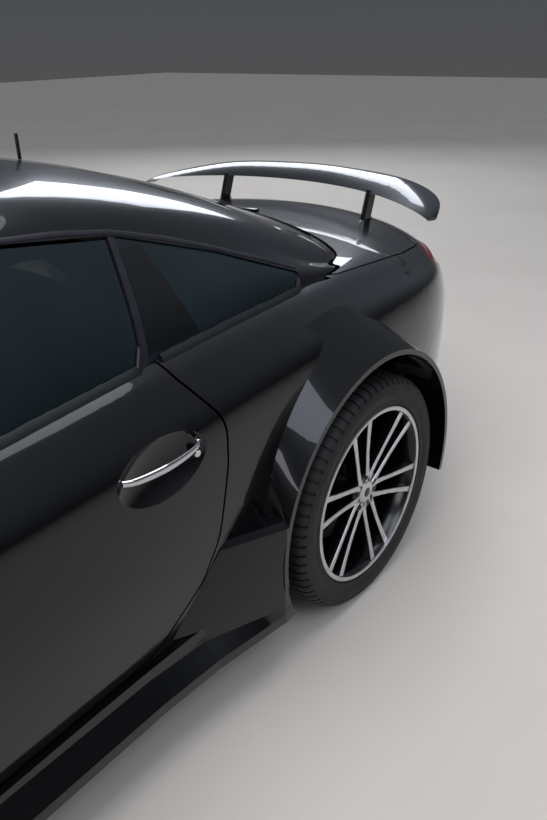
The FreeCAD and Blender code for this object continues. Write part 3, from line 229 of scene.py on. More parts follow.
# Slush-moulded vinyl with a fine grain: dashboard and door tops
dash_skin = finish_of("slush_moulded_vinyl", "#0e0e0f", "#18181a", 0.5, 0.62, 0.9, 0.09)
# Loop-pile carpet: matt charcoal with a deep nap
carpet = finish_of("loop_pile_carpet", "#0e0e0f", "#1c1c1d", 0.85, 0.98, 3.0, 1.2)
# Bonded nylon thread: a soft sheen a shade lighter than the hide
thread = finish_of("bonded_nylon_thread", "#202022", "#2c2c2e", 0.55, 0.75, 0.6, 0.3)
# Aluminium sheet, painted white and bare of text: blank number plates
plate_white = finish_of("enamelled_plate_sheet", "#a9a9a6", "#b4b4b1", 0.3, 0.4, 2.0, 0.02)

FINISHES = {
    paint: ["roof", "quarter_panels", "front_wings", "side_skirts", "front_bumper", "rear_bumper",
            "bonnet", "boot_lid", "boot_wing",
            "door_left", "door_right", "mirror_left", "mirror_right"],
    side_glass: ["rear_window", "quarter_windows", "door_window_left", "door_window_right"],
    screen_glass: ["windscreen"], lamp_cover: ["headlamps"], red_lens: ["tail_lamps"],
    rail_trim: ["pillar_strips"],
    grained_plastic: ["diffuser", "grille", "cowl", "arch_liners"], gloss_plastic: ["antenna"],
    underseal: ["body_frame"],
    cast_iron: ["rear_axle", "front_axle", "knuckle_left", "knuckle_right"], die_cast: ["engine"],
    pipe_steel: ["exhaust"],
    dash_skin: ["dashboard", "console", "rear_shelf"], leather: ["seats", "steering_wheel"],
    chrome: ["door_handle_left", "door_handle_right"],
    tyre_rubber: [f"tyre_{end}_{side}" for end in ("front", "rear") for side, _ in SIDES],
    rim_enamel: [f"rim_{end}_{side}" for end in ("front", "rear") for side, _ in SIDES],
    disc_iron: [f"brake_disc_{end}_{side}" for end in ("front", "rear") for side, _ in SIDES],
}
for mat, names in FINISHES.items():
    for name in names:
        nodes[name].data.materials.clear()
        nodes[name].data.materials.append(mat)


# Modelling helpers
def clear():
    """Back to object mode with nothing selected."""
    if bpy.context.object and bpy.context.object.mode != "OBJECT":
        bpy.ops.object.mode_set(mode="OBJECT")
    bpy.ops.object.select_all(action="DESELECT")


def choose(piece):
    """Selects the piece alone and makes it the active one."""
    clear()
    piece.select_set(True)
    bpy.context.view_layer.objects.active = piece


def named(piece, name):
    piece.name = name
    piece.data.name = name
    return piece


def coated(piece, mat):
    """Gives a part its material before it is joined to others."""
    piece.data.materials.append(mat)
    return piece


def pick(piece, kind, test):
    """Opens the piece for editing and selects what passes the test of its middle in mm and its normal."""
    choose(piece)
    bpy.ops.object.mode_set(mode="EDIT")
    bpy.ops.mesh.select_mode(type=kind)
    bpy.ops.mesh.select_all(action="DESELECT")
    mesh = bmesh.from_edit_mesh(piece.data)
    mesh.normal_update()
    for part in mesh.verts if kind == "VERT" else mesh.faces:
        middle = part.co if kind == "VERT" else part.calc_center_median()
        part.select_set(bool(test(middle / MM, part.normal)))
    mesh.select_flush_mode()
    bmesh.update_edit_mesh(piece.data)


def fixed(piece, name):
    """Names a fresh primitive and puts its place into its mesh."""
    named(piece, name)
    bpy.ops.object.transform_apply(location=True, rotation=True, scale=True)
    return piece


def block(name, low, high):
    """A box between two corners in mm."""
    clear()
    middle = [(a + b) / 2 * MM for a, b in zip(low, high)]
    bpy.ops.mesh.primitive_cube_add(size=1.0, location=middle,
                                    scale=[(b - a) * MM for a, b in zip(low, high)])
    return fixed(bpy.context.object, name)


def rod(name, start, end, radius, sides=32):
    """A round bar between two places in mm."""
    clear()
    a, b = Vector(start) * MM, Vector(end) * MM
    bpy.ops.mesh.primitive_cylinder_add(vertices=sides, radius=radius * MM, depth=(b - a).length,
                                        location=(a + b) / 2,
                                        rotation=(b - a).to_track_quat("Z", "Y").to_euler())
    return fixed(bpy.context.object, name)


def soften(piece, width, steps=3, angle=30.0):
    """Rounds the piece's sharp edges."""
    choose(piece)
    mod = piece.modifiers.new("rounding", "BEVEL")
    mod.width = width * MM
    mod.segments = steps
    mod.limit_method = "ANGLE"
    mod.angle_limit = math.radians(angle)
    mod.use_clamp_overlap = True
    bpy.ops.object.modifier_apply(modifier="rounding")
    return piece


def drawn(name, outlines):
    """A solid through outlines in mm with as many points each: a filled circle, set and extruded on."""
    clear()
    count = len(outlines[0])
    bpy.ops.mesh.primitive_circle_add(vertices=count, radius=MM, fill_type="NGON")
    piece = bpy.context.object
    bpy.ops.object.mode_set(mode="EDIT")
    mesh = bmesh.from_edit_mesh(piece.data)
    for vert, point in zip(mesh.verts, outlines[0]):
        vert.co = Vector(point) * MM
    for before, after in zip(outlines, outlines[1:]):
        bpy.ops.mesh.extrude_region_move()
        mesh = bmesh.from_edit_mesh(piece.data)
        left = list(range(count))
        for vert in [v for v in mesh.verts if v.select]:
            nearest = min(left, key=lambda i: (Vector(before[i]) * MM - vert.co).length_squared)
            left.remove(nearest)
            vert.co = Vector(after[nearest]) * MM
    bpy.ops.mesh.select_all(action="SELECT")
    bpy.ops.mesh.normals_make_consistent(inside=False)
    bpy.ops.object.mode_set(mode="OBJECT")
    return fixed(piece, name)


def spun(name, outline, centre, axis, steps):
    """A ring from a closed outline of (radius, distance along the axis), spun round the axis."""
    clear()
    axis = Vector(axis).normalized()
    across = Vector((0, 0, 1)) if abs(axis.z) < 0.9 else Vector((1, 0, 0))
    across = (across - axis * across.dot(axis)).normalized()
    bpy.ops.mesh.primitive_circle_add(vertices=len(outline), radius=MM)
    piece = bpy.context.object
    bpy.ops.object.mode_set(mode="EDIT")
    mesh = bmesh.from_edit_mesh(piece.data)
    for vert, (radius, along) in zip(mesh.verts, outline):
        vert.co = (Vector(centre) + across * radius + axis * along) * MM
    bmesh.update_edit_mesh(piece.data)
    bpy.ops.mesh.spin(steps=steps, angle=2 * math.pi, center=Vector(centre) * MM, axis=axis)
    bpy.ops.mesh.select_all(action="SELECT")
    bpy.ops.mesh.remove_doubles(threshold=0.00002)
    bpy.ops.mesh.dissolve_degenerate(threshold=0.00001)
    bpy.ops.mesh.normals_make_consistent(inside=False)
    bpy.ops.object.mode_set(mode="OBJECT")
    return fixed(piece, name)


def joined(name, parts):
    """Several pieces as one object; their materials stay."""
    clear()
    for part in parts:
        part.select_set(True)
    bpy.context.view_layer.objects.active = parts[0]
    bpy.ops.object.join()
    return named(parts[0], name)


def copied(piece, name, turn):
    """A copy with a mesh of its own, placed by a matrix; a mirrored one gets its normals recalculated."""
    choose(piece)
    bpy.ops.object.duplicate(linked=False)
    twin = bpy.context.object
    twin.data.transform(turn)
    if turn.determinant() < 0:
        bpy.ops.object.mode_set(mode="EDIT")
        bpy.ops.mesh.select_all(action="SELECT")
        bpy.ops.mesh.flip_normals()
        bpy.ops.object.mode_set(mode="OBJECT")
    return named(twin, name)


MIRROR_Y = Matrix.Scale(-1, 4, (0, 1, 0))


def dressed(piece, mat, body, angle=35.0, slot=None):
    """Gives a finished piece its shading, its material and the body it rides on."""
    choose(piece)
    bpy.ops.object.shade_smooth_by_angle(angle=math.radians(angle))
    if mat and not piece.data.materials:
        piece.data.materials.append(mat)
    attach(piece, body)
    return piece


def both_sides(piece, name, mat, body, **kind):
    """Dresses a left piece and its mirrored twin; a door's piece rides on its own door."""
    twin = copied(piece, f"{name}_right", MIRROR_Y)
    piece.name = f"{name}_left"
    dressed(piece, mat, body.replace("SIDE", "left"), **kind)
    dressed(twin, mat, body.replace("SIDE", "right"), **kind)
    return piece, twin


def search_tree(mesh):
    return BVHTree.FromPolygons([v.co for v in mesh.vertices], [list(f.vertices) for f in mesh.polygons])


# A search tree of each node's faces, made when a ray first looks for that node
skins = {}


def cast(names, start, direction):
    """Where a ray first meets one of the named nodes: the point in mm, the normal, which node, how far."""
    best = None
    for name in names:
        if name not in skins:
            skins[name] = search_tree(nodes[name].data)
        place, normal, _, far = skins[name].ray_cast(Vector(start) * MM, Vector(direction))
        if place is not None and (best is None or far < best[3]):
            best = (place / MM, normal, name, far)
    return best


def from_left(names, x, z):
    return cast(names, (x, BESIDE, z), (0, -1, 0))


def from_above(names, x, y):
    return cast(names, (x, y, ABOVE), (0, 0, -1))


def from_front(names, y, z):
    return cast(names, (BEFORE, y, z), (-1, 0, 0))


def from_rear(names, y, z):
    return cast(names, (BEHIND, y, z), (1, 0, 0))


def slab(hits, near, far):
    """A closed outline along a row of hits: out at one offset and back at the other."""
    places = [hit[0] for hit in hits]
    return [p + Vector(near) for p in places] + [p + Vector(far) for p in reversed(places)]


def bar_section(place, face_x, back_x, face_half, back_half):
    """Four corners of a strip's outline about a place: its face and its back, each with a half height."""
    return [place + Vector(corner) for corner in ((face_x, 0, face_half), (back_x, 0, back_half),
                                                  (back_x, 0, -back_half), (face_x, 0, -face_half))]


# Wheels: a tyre with grooves, sipes and a ribbed wall, and a rim with six pairs of turned spokes
def tyre_piece(label, wheel):
    """A tyre about its axle: a crown with four grooves, shoulder sipes, a wall with ribs and a rim guard."""
    half, big, seat = wheel["width"] / 2, wheel["radius"], wheel["rim"] - FLANGE
    grooves = [-0.5, -0.17, 0.17, 0.5]
    crown = [(big - 20, -half + 4), (big - 9, -half + 13), (big - 3, -half + 26), (big - 0.6, -half + 44)]
    for share in grooves:
        y = share * half
        crown += [(big, y - 5.5), (big - 7, y - 4), (big - 7, y + 4), (big, y + 5.5)]
    crown += [(big - 0.6, half - 44), (big - 3, half - 26), (big - 9, half - 13), (big - 20, half - 4)]
    wall = [(big - 26, half - 2.5), (big - 28, half - 4), (big - 40, half - 1), (big - 52, half - 1),
            (seat + 30, half - 6),
            (seat + 27, half - 5), (seat + 16, half - 6), (seat + 14, half - 13), (seat + 1, half - 17)]
    inner = [(seat + 1, -half + 17), (seat + 14, -half + 13), (seat + 30, -half + 6),
             (big - 46, -half + 1), (big - 30, -half + 2)]
    piece = spun(f"tyre_{label}", crown + wall + inner, (wheel["x"], wheel["y"], big), (0, 1, 0), 288)
    middle = Vector((wheel["x"], wheel["y"], big))

    def sipe(place, normal):
        along = place.y - middle.y
        reach = math.hypot(place.x - middle.x, place.z - middle.z)
        turn = math.degrees(math.atan2(place.z - middle.z, place.x - middle.x)) % 5.0
        lean = 2.5 if along > 0 else 0.0
        on_shoulder = half * 0.56 < abs(along) < half - 6
        return reach > big - 16 and on_shoulder and abs(turn - lean - 0.625) < 0.6

    pick(piece, "FACE", sipe)
    bpy.ops.mesh.extrude_region_shrink_fatten(TRANSFORM_OT_shrink_fatten={"value": -5.0 * MM})
    clear()
    return piece


def spoke_outlines(wheel, sign, front, deep):
    """Outlines of one spoke from the hub to the ring, for a slab from its front face to its depth.

    Columns: the radius, the angle from the pair's middle, the width, how far the face lies in from the rim.
    """
    half, seat = wheel["width"] / 2, wheel["rim"] - FLANGE
    steps = [(34, 27.0, 19.0, 31.0), (58, 20.5, 16.0, 31.0), (92, 14.6, 13.4, 29.0),
             (138, 11.0, 12.6, 25.0), (188, 9.6, 13.6, 19.5), (seat - 3, 9.0, 17.0, 12.0)]
    rows = []
    for radius, lead, width, sink in steps:
        angle = math.radians(sign * lead)
        radial = Vector((math.cos(angle), 0, math.sin(angle)))
        across = Vector((-math.sin(angle), 0, math.cos(angle)))
        base = radial * radius + Vector((0, half - sink, 0))
        side = across * (width * 0.5)
        inward = Vector((0, -1, 0))
        rows.append([base - side + inward * front, base + side + inward * front,
                     base + side * 1.15 + inward * deep, base - side * 1.15 + inward * deep])
    return rows


def rim_piece(label, wheel):
    """Black barrel, turned ring, six pairs of turned spokes with black sides, hub, bolts and plain cap."""
    half, seat = wheel["width"] / 2, wheel["rim"] - FLANGE

    def turned(name, outline, steps, mat):
        return coated(spun(name, outline, (0, 0, 0), (0, 1, 0), steps), mat)

    barrel = turned("barrel", [(seat + 9, half - 14), (seat + 9, half - 9), (seat + 1, half - 9),
                               (seat - 4, half - 16), (seat - 10, half - 30), (seat - 17, half - 56),
                               (seat - 18, 30 - half), (seat - 8, 9 - half), (seat + 9, 9 - half),
                               (seat + 9, 13 - half), (seat - 1, 15 - half), (seat - 1, half - 16)],
                    96, rim_enamel)
    ring = turned("ring", [(seat + 11, half - 14), (seat + 11, half - 8), (seat + 8, half - 6.5),
                           (seat - 1, half - 8), (seat - 1, half - 12), (seat + 8, half - 13)],
                  96, spoke_face)
    webs = []
    for sign in (1, -1):
        web = coated(drawn("web", spoke_outlines(wheel, sign, 1.5, 38.0)), rim_enamel)
        face = coated(drawn("face", spoke_outlines(wheel, sign, 0.0, 3.0)), spoke_face)
        webs += [soften(web, 1.5, 2), soften(face, 0.8, 2)]
    pair = joined("pair", webs)
    # The first pair points where the photograph shows one
    turns = [Matrix.Rotation(math.radians(60 * k - 135), 4, "Y") for k in range(6)]
    parts = [barrel, ring] + [copied(pair, f"pair_{k}", turn) for k, turn in enumerate(turns)]
    bpy.data.objects.remove(pair)
    parts.append(turned("hub", [(0, half - 36), (30, half - 36), (34, half - 34), (58, half - 33),
                                (63, half - 38), (66, half - 84), (0, half - 84)], 64, rim_enamel))
    parts.append(turned("cap", [(0, half - 28), (22, half - 28.5), (31, half - 30), (34, half - 33),
                                (34, half - 37), (0, half - 37)], 64, spoke_face))
    parts.append(turned("boss", [(0, half - 27.2), (13, half - 27.5), (16, half - 29), (16, half - 30),
                                 (0, half - 30)], 48, rim_enamel))
    bolts, bolt_circle = 5, 49
    for k in range(bolts):
        turn = math.radians(90 + 360 / bolts * k)
        x, z = bolt_circle * math.cos(turn), bolt_circle * math.sin(turn)
        bolt = coated(rod(f"bolt_{k}", (x, half - 40, z), (x, half - 31, z), 8.0, 6), cast_iron)
        parts.append(soften(bolt, 0.8, 2))
    rim = joined(f"rim_{label}", parts)
    rim.data.transform(Matrix.Translation((wheel["x"] * MM, wheel["y"] * MM, wheel["radius"] * MM)))
    return rim


for end, wheel in (("rear", REAR_WHEEL), ("front", FRONT_WHEEL)):
    for kind, piece, mat in (("tyre", tyre_piece(end, wheel), tyre_rubber),
                             ("rim", rim_piece(end, wheel), None)):
        twin = copied(piece, f"{kind}_{end}_right", MIRROR_Y)
        piece.name = f"{kind}_{end}_left"
        for made, side in ((piece, "left"), (twin, "right")):
            dressed(made, mat, f"wheel_{end}_{side}", slot="tyre_rubber" if kind == "tyre" else "alloy_rim")
            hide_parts(f"{kind}_{end}_{side}")
    for side, s in SIDES:
        outer_y = wheel["y"] + wheel["width"] / 2
        valve = rod(f"valve_{end}_{side}", (wheel["x"] + 178, s * (outer_y - 40), wheel["radius"] + 168),
                    (wheel["x"] + 164, s * (outer_y - 22), wheel["radius"] + 155), 3.4, 12)
        dressed(valve, grained_plastic, f"wheel_{end}_{side}")


# Trim that follows the body: places are looked up on the panels, then a strip is drawn through them
def run_on_skin(name, names, places, wide, thick, lift=0.0):
    """A strip over the side skin through (x, z) places, on the first panel that a ray from outside meets."""
    hits = [from_left(names, x, z) for x, z in places]
    found = [(hit[0], hit[1]) for hit in hits if hit]
    outlines = []
    for k, (place, normal) in enumerate(found):
        along = (found[min(k + 1, len(found) - 1)][0] - found[max(k - 1, 0)][0]).normalized()
        normal = (normal if normal.y > 0 else -normal).normalized()
        across = along.cross(normal).normalized()
        low, high = place + normal * (lift - 1.0), place + normal * (lift + thick)
        outlines.append([low - across * wide / 2, high - across * (wide / 2 - 1.2),
                         high + across * (wide / 2 - 1.2), low + across * wide / 2])
    return drawn(name, outlines)


def between(points, count):
    """Evenly spaced (x, z) places along a polyline."""
    lengths = [math.dist(a, b) for a, b in zip(points, points[1:])]
    total = sum(lengths)
    out = []
    for k in range(count):
        left = total * k / (count - 1)
        for (a, b), length in zip(zip(points, points[1:]), lengths):
            if left <= length + 1e-6:
                share = left / length
                out.append((a[0] + (b[0] - a[0]) * share, a[1] + (b[1] - a[1]) * share))
                break
            left -= length
    return out


def belt_run(name, pane, panel, start, stop, count):
    """The moulding at the foot of the side glass, where the glass leaves the shoulder of the panel."""
    outlines = []
    for k in range(count):
        x = start + (stop - start) * k / (count - 1)
        foot = None
        for z in range(860, 1010, 2):
            hit = from_left(pane + panel, x, z)
            if hit and hit[2] in pane:
                foot = hit[0]
                break
        if foot is None:
            continue
        shoulder = from_above(panel, x, foot.y + 15)
        top = shoulder[0].z if shoulder else foot.z - 4
        y, z = foot.y, foot.z
        outlines.append([Vector((x, y + 0.4, z - 8)), Vector((x, y + 0.4, z + 9)),
                         Vector((x, y + 4, z + 10)), Vector((x, y + 9, z + 5)),
                         Vector((x, y + 15, top + 2.2)), Vector((x, y + 16, top - 1))])
    return drawn(name, outlines)


# Upper edge of the side windows, front to rear: x, z
WINDOW_TOP = [(604, 916), (560, 948), (470, 1016), (360, 1074), (250, 1128), (110, 1168), (-30, 1194),
              (-180, 1205), (-320, 1209),
              (-460, 1197), (-590, 1176), (-730, 1136), (-860, 1091), (-1000, 1038), (-1136, 984)]
rail = run_on_skin("window_rail", ["roof"], between(WINDOW_TOP, 70), 13.0, 2.2)
both_sides(soften(rail, 0.8, 2), "window_rail", rail_trim, "body")
belt_door = belt_run("door_belt", ["door_window_left"], ["door_left"], 560, -560, 57)
both_sides(belt_door, "door_belt", belt_trim, "door_SIDE")
belt_quarter = belt_run("quarter_belt", ["quarter_windows"], ["quarter_panels"], -566, -1112, 28)
both_sides(belt_quarter, "quarter_belt", belt_trim, "body")

# Rear edge of the dark frit along the front of the fixed quarter pane, downwards: x, z
FRIT = [(-650, 1152), (-663, 1100), (-678, 1040), (-692, 985), (-699, 952)]


def frit_panel():
    """A thin band from the B-strip to the frit's rear edge, laid on the quarter pane."""
    outlines = []
    for x, z in between(FRIT, 20):
        # The strip leans back by 60 mm in 228 mm of height
        strip_edge = -541 - (z - 940) * 60 / 228
        spots = [from_left(["quarter_windows"], strip_edge + (x - strip_edge) * k / 5, z) for k in range(6)]
        if all(spots):
            outlines.append(slab(spots, (0, 0.9, 0), (0, -0.9, 0)))
    return drawn("quarter_frit", outlines)


both_sides(frit_panel(), "quarter_frit", frit, "body")


# Door handle: a bright bar with rounded ends over its bowl, a foot at each end and a lock
HANDLE_Z = 791.0


def handle_bar():
    """The grip drawn through rounded outlines along its arch; the ends turn in to their feet."""
    front_x, length, foot_y, stand_off = -338, 210, 911, 24
    steps, sides = 16, 12
    outlines = []
    for k in range(steps + 1):
        share = k / steps
        arch = math.sin(math.pi * share)
        x = front_x - length * share
        y = foot_y + stand_off * arch ** 0.55
        tall = 7.2 + 1.6 * arch
        deep = 4.2 if 0 < k < steps else 3.0
        ring = [2 * math.pi * i / sides for i in range(sides)]
        outlines.append([Vector((x, y + deep * math.cos(a), HANDLE_Z + tall * math.sin(a))) for a in ring])
    return drawn("handle_bar", outlines)


bar = handle_bar()
feet = [soften(block("foot", (x, 896, HANDLE_Z - 5), (x + 10, 912, HANDLE_Z + 5)), 3.0, 3)
        for x in (-348, -550)]
left_bar, right_bar = both_sides(joined("door_handle_bar", [bar] + feet), "door_handle_bar", chrome,
                                 "door_SIDE", slot="chrome_trim")
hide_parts("door_handle_left")
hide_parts("door_handle_right")
lock = spun("door_lock", [(0, 0), (7, 0), (8.5, 1.5), (8.5, 8), (0, 8)], (-532, 919, 770), (0, -1, 0), 32)
both_sides(lock, "door_lock", chrome, "door_SIDE")


# Wing: a dark gasket at each strut's foot, at this height if the ray for the lid's own misses
LID_LEVEL = 905.0
for side, s in SIDES:
    spot = from_above(["boot_lid"], STRUT_X, s * (STRUT_Y + 24))
    level = spot[0].z if spot else LID_LEVEL
    ring = spun(f"strut_gasket_{side}", [(0.92, 0), (1.0, 0), (1.0, 1), (0.92, 1)], (0, 0, 0), (0, 0, 1), 48)
    ring.data.transform(Matrix.Diagonal((38.0, 16.5, 3.0, 1.0)))
    tilt = Matrix.Rotation(math.radians(7), 4, "Y")
    ring.data.transform(Matrix.Translation((STRUT_X * MM, s * STRUT_Y * MM, (level - 1.5) * MM)) @ tilt)
    dressed(ring, seal_rubber, "boot_lid")

# High brake lamp: a small black box in the middle of the lid with a red window
lid_top = from_above(["boot_lid"], -1790, 0)[0].z
lamp_box = soften(block("high_brake_lamp", (-1806, -32, lid_top - 3), (-1776, 32, lid_top + 10)), 3.0, 3)
dressed(lamp_box, gloss_plastic, "boot_lid")
window = soften(block("high_brake_window", (-1807.2, -26, lid_top + 1), (-1800, 26, lid_top + 7)), 1.0, 2)
dressed(window, red_lens, "boot_lid")


# Lamps: a clear or red skin kept from the lamp's outer faces, the lights inside and a dark case behind
def outer_skin(name, node, outward, wall, cut):
    """The faces of a CAD node that pass the test, cut level at a height in mm, as a thin shell."""
    clear()
    shell = nodes[node].copy()
    shell.data = nodes[node].data.copy()
    shell.data.materials.clear()
    bpy.context.scene.collection.objects.link(shell)
    shell.parent = None
    shell.matrix_world = Matrix.Identity(4)
    shell.name = name
    shell.hide_viewport = shell.hide_render = False
    pick(shell, "VERT", lambda place, normal: True)
    bpy.ops.mesh.remove_doubles(threshold=0.00001)
    bpy.ops.mesh.bisect(plane_co=(0, 0, cut * MM), plane_no=(0, 0, 1))
    pick(shell, "FACE", lambda place, normal: not outward(place, normal))
    bpy.ops.mesh.delete(type="FACE")
    choose(shell)
    mod = shell.modifiers.new("wall", "SOLIDIFY")
    mod.thickness = wall * MM
    mod.offset = -1.0
    bpy.ops.object.modifier_apply(modifier="wall")
    return shell


def lamp_bowl(name, centre, axis, radius, deep):
    """A reflector bowl with a bezel, open towards the axis."""
    return coated(spun(name, [(radius, 0), (radius + 3, 0), (radius + 3, -deep), (0, -deep), (0, -deep + 2),
                              (radius * 0.5, -deep * 0.85), (radius * 0.85, -deep * 0.5)],
                       centre, axis, 48), reflector)


def lamp_bulb(name, centre, axis, radius, mat):
    """A round lens that stands in its bowl."""
    return coated(spun(name, [(0, radius * 0.55), (radius * 0.45, radius * 0.48),
                              (radius * 0.8, radius * 0.26), (radius, 0), (radius, -6), (0, -6)],
                       centre, axis, 40), mat)


def head_out(place, normal):
    """True on a headlamp's faces that look forwards or sideways out of the body."""
    forwards = normal.x > 0.12 and place.x > 1880
    sideways = abs(place.y) > 760 and normal.y * place.y > 0 and normal.x > -0.2 and abs(normal.z) < 0.9
    return forwards or sideways


def tail_out(place, normal):
    """True on a tail lamp's faces that look backwards or sideways out of the body."""
    return normal.x < -0.12 or (normal.y * place.y > 0 and abs(normal.y) > 0.4)


def tail_lens(place, normal):
    return tail_out(place, normal) and place.z < LAMP_TOP


def tail_cap(place, normal):
    return place.z > LAMP_TOP and (normal.z > 0.1 or tail_out(place, normal))


# Headlamps: columns are each lamp's y, z and radius
LAMP_ROW = ((500, 652, 36), (600, 668, 40), (700, 684, 34))
CASE_EDGE = ((440, 606), (560, 604), (790, 655), (770, 745), (560, 715), (440, 700))
head_skin = outer_skin("headlamp_covers", "headlamps", head_out, 2.5, 650.0)
dressed(head_skin, lamp_cover, "body", slot="lamp_clear")
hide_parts("headlamps")
for side, s in SIDES:
    parts = []
    for y, z, radius in LAMP_ROW:
        hit = from_front(["headlamps"], s * y, z)
        if hit:
            axis = Vector((1.0, 0.12 * s, 0.05))
            seat = hit[0] - axis.normalized() * (radius * 0.9 + 8)
            parts.append(lamp_bowl("bowl", seat, axis, radius, 22.0))
            parts.append(lamp_bulb("bulb", seat - axis.normalized() * 8, axis, radius * 0.62, lamp_cover))
    dressed(joined(f"headlamp_bowls_{side}", parts), None, "body", slot="lamp_clear")
    back = drawn(f"headlamp_case_{side}",
                 [[Vector((x, s * y, z)) for y, z in CASE_EDGE] for x in (1985, 2000)])
    dressed(back, gloss_plastic, "body")
    hits = [from_front(["headlamps"], s * y, 622 + (y - 440) * 0.13) for y in range(450, 760, 20)]
    outlines = [bar_section(hit[0] - Vector((12, 0, 0)), 0, -6, 4, 4) for hit in hits if hit]
    if len(outlines) > 2:
        dressed(drawn(f"daylight_strip_{side}", outlines), reflector, "body")

# Tail lamps: a red lens, a painted cap and three coloured bars before a dark case
tail_skin = outer_skin("tail_lamp_covers", "tail_lamps", tail_lens, 2.5, LAMP_TOP)
dressed(tail_skin, red_lens, "body", slot="lamp_red")
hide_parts("tail_lamps")
cap_skin = outer_skin("tail_lamp_caps", "tail_lamps", tail_cap, 8.0, LAMP_TOP)
dressed(cap_skin, paint, "body", slot="black_paint")
for side, s in SIDES:
    parts = []
    for z, mat in ((735, red_lens), (775, amber_lens), (818, red_lens)):
        hits = [from_rear(["tail_lamps"], s * (470 + 19 * k), z) for k in range(14)]
        sections = [bar_section(hit[0] + Vector((9, 0, 0)), 0, 10, 13, 13) for hit in hits if hit]
        parts.append(coated(drawn("lobe", sections), mat))
    rows = [[from_rear(["tail_lamps"], s * (465 + 19 * k), z) for z in (716, 770, 830)] for k in range(12)]
    case = drawn("case", [slab(hits, (34, 0, 0), (42, 0, 0)) for hits in rows if all(hits)])
    coated(case, gloss_plastic)
    dressed(joined(f"tail_lamp_insides_{side}", parts + [case]), None, "body", slot="lamp_red")


# The blank number plate with its frame, on its flat seat in the lid, and two lamps over it
FRAME_BARS = (((-264, 652), (264, 656)), ((-264, 764), (264, 767.6)),
              ((-264, 656), (-260, 764)), ((260, 656), (264, 764)))
rear_plate = soften(block("rear_plate", (PLATE_X - 3.2, -260, 655), (PLATE_X, 260, 765)), 1.5, 2)
dressed(rear_plate, plate_white, "boot_lid")
frame_bars = [block("bar", (PLATE_X - 4.7, *low), (PLATE_X, *high)) for low, high in FRAME_BARS]
dressed(joined("rear_plate_frame", frame_bars), grained_plastic, "boot_lid")
for s in (1, -1):
    lamp = soften(block(f"plate_lamp_{s}", (-2288, s * 120 - 30, 769), (-2262, s * 120 + 30, 778)), 2.0, 2)
    dressed(lamp, lamp_cover, "boot_lid")

# Exhaust mouths: a bright rolled ring, and inside each pipe a dull black disc: painted shade that stands in
# for the dark depth of the bore
for k, y in enumerate(PIPES_Y):
    ring = spun(f"pipe_mouth_{k}", [(34, -2), (41, -2), (43, 1), (42, 6), (39.5, 8), (36, 7), (34.5, 3)],
                (-2290, y, PIPE_Z), (-1, 0, 0), 64)
    dressed(ring, chrome, "body")
    # Painted shade: a dull black disc that closes the pipe where its bore would fall dark
    dark = spun(f"pipe_shade_disc_{k}", [(0, 0), (34, 0), (34, 3), (0, 3)], (-2225, y, PIPE_Z), (-1, 0, 0), 48)
    dressed(dark, grained_plastic, "body")


# Mirrors: a glass in its frame and an indicator strip
mx, my, mz = MIRROR
mirror = soften(block("mirror_pane", (mx - 57.5, my - 54, mz - 38), (mx - 54, my + 54, mz + 42)), 1.2, 2)
both_sides(mirror, "mirror_pane", mirror_glass, "door_SIDE")
hits = [from_front(["mirror_left"], 950 + 10 * k, mz + 4) for k in range(10)]
blink = drawn("mirror_indicator", [bar_section(hit[0], 0.8, -3, 3.5, 4) for hit in hits if hit])
both_sides(blink, "mirror_indicator", amber_lens, "door_SIDE")


# Wipers on the cowl
COWL_TOP = 915.0


def wiper(name, root, tip, blade):
    """One wiper: an arm from its pivot that tapers to the blade, and the blade between its two ends."""
    lift = Vector((0, 0, 1))
    across = lift.cross(tip - root).normalized()
    ridge = lift * 8
    arm = drawn("arm", [[p - across * w, p - across * w + ridge, p + across * w + ridge, p + across * w]
                        for p, w in ((root, 13), (root.lerp(tip, 0.3) + lift * 9, 10), (tip + lift * 4, 6))])
    a, b = blade
    side = lift.cross(b - a).normalized()
    rubber = drawn("blade", [[p - side * 5, p - side * 3 + lift * 12, p + side * 3 + lift * 12, p + side * 5]
                             for p in (a, a.lerp(b, 0.33) + lift * 3, a.lerp(b, 0.66) + lift * 3, b)])
    pivot = rod("pivot", root - lift * 6, root + lift * 14, 14, 24)
    return dressed(joined(name, [arm, rubber, pivot]), grained_plastic, "body")


def glass_point(x, y):
    """A place 4 mm over the windscreen or the cowl, or at the cowl's height beside them."""
    hit = from_above(["windscreen", "cowl"], x, y)
    return hit[0] + Vector((0, 0, 4)) if hit else Vector((x, y, COWL_TOP))


wiper("wiper_left", glass_point(960, 520), glass_point(880, 130),
      (glass_point(905, 480), glass_point(840, -120)))
wiper("wiper_right", glass_point(975, -90), glass_point(880, -420),
      (glass_point(905, -60), glass_point(815, -560)))


# Seats: cushions swollen from smaller blocks by cloth under pressure, then sewn, on a shell and rails
SEAT_VOXEL = 6.0
SEAT_SWELL = 14.0
SWELL_FRAMES = 20
# Lower and upper end of the backrest's front and rear face
BACK_FRONT = (Vector((-188, 0, 392)), Vector((-484, 0, 992)))
BACK_REAR = (Vector((-326, 0, 410)), Vector((-592, 0, 956)))


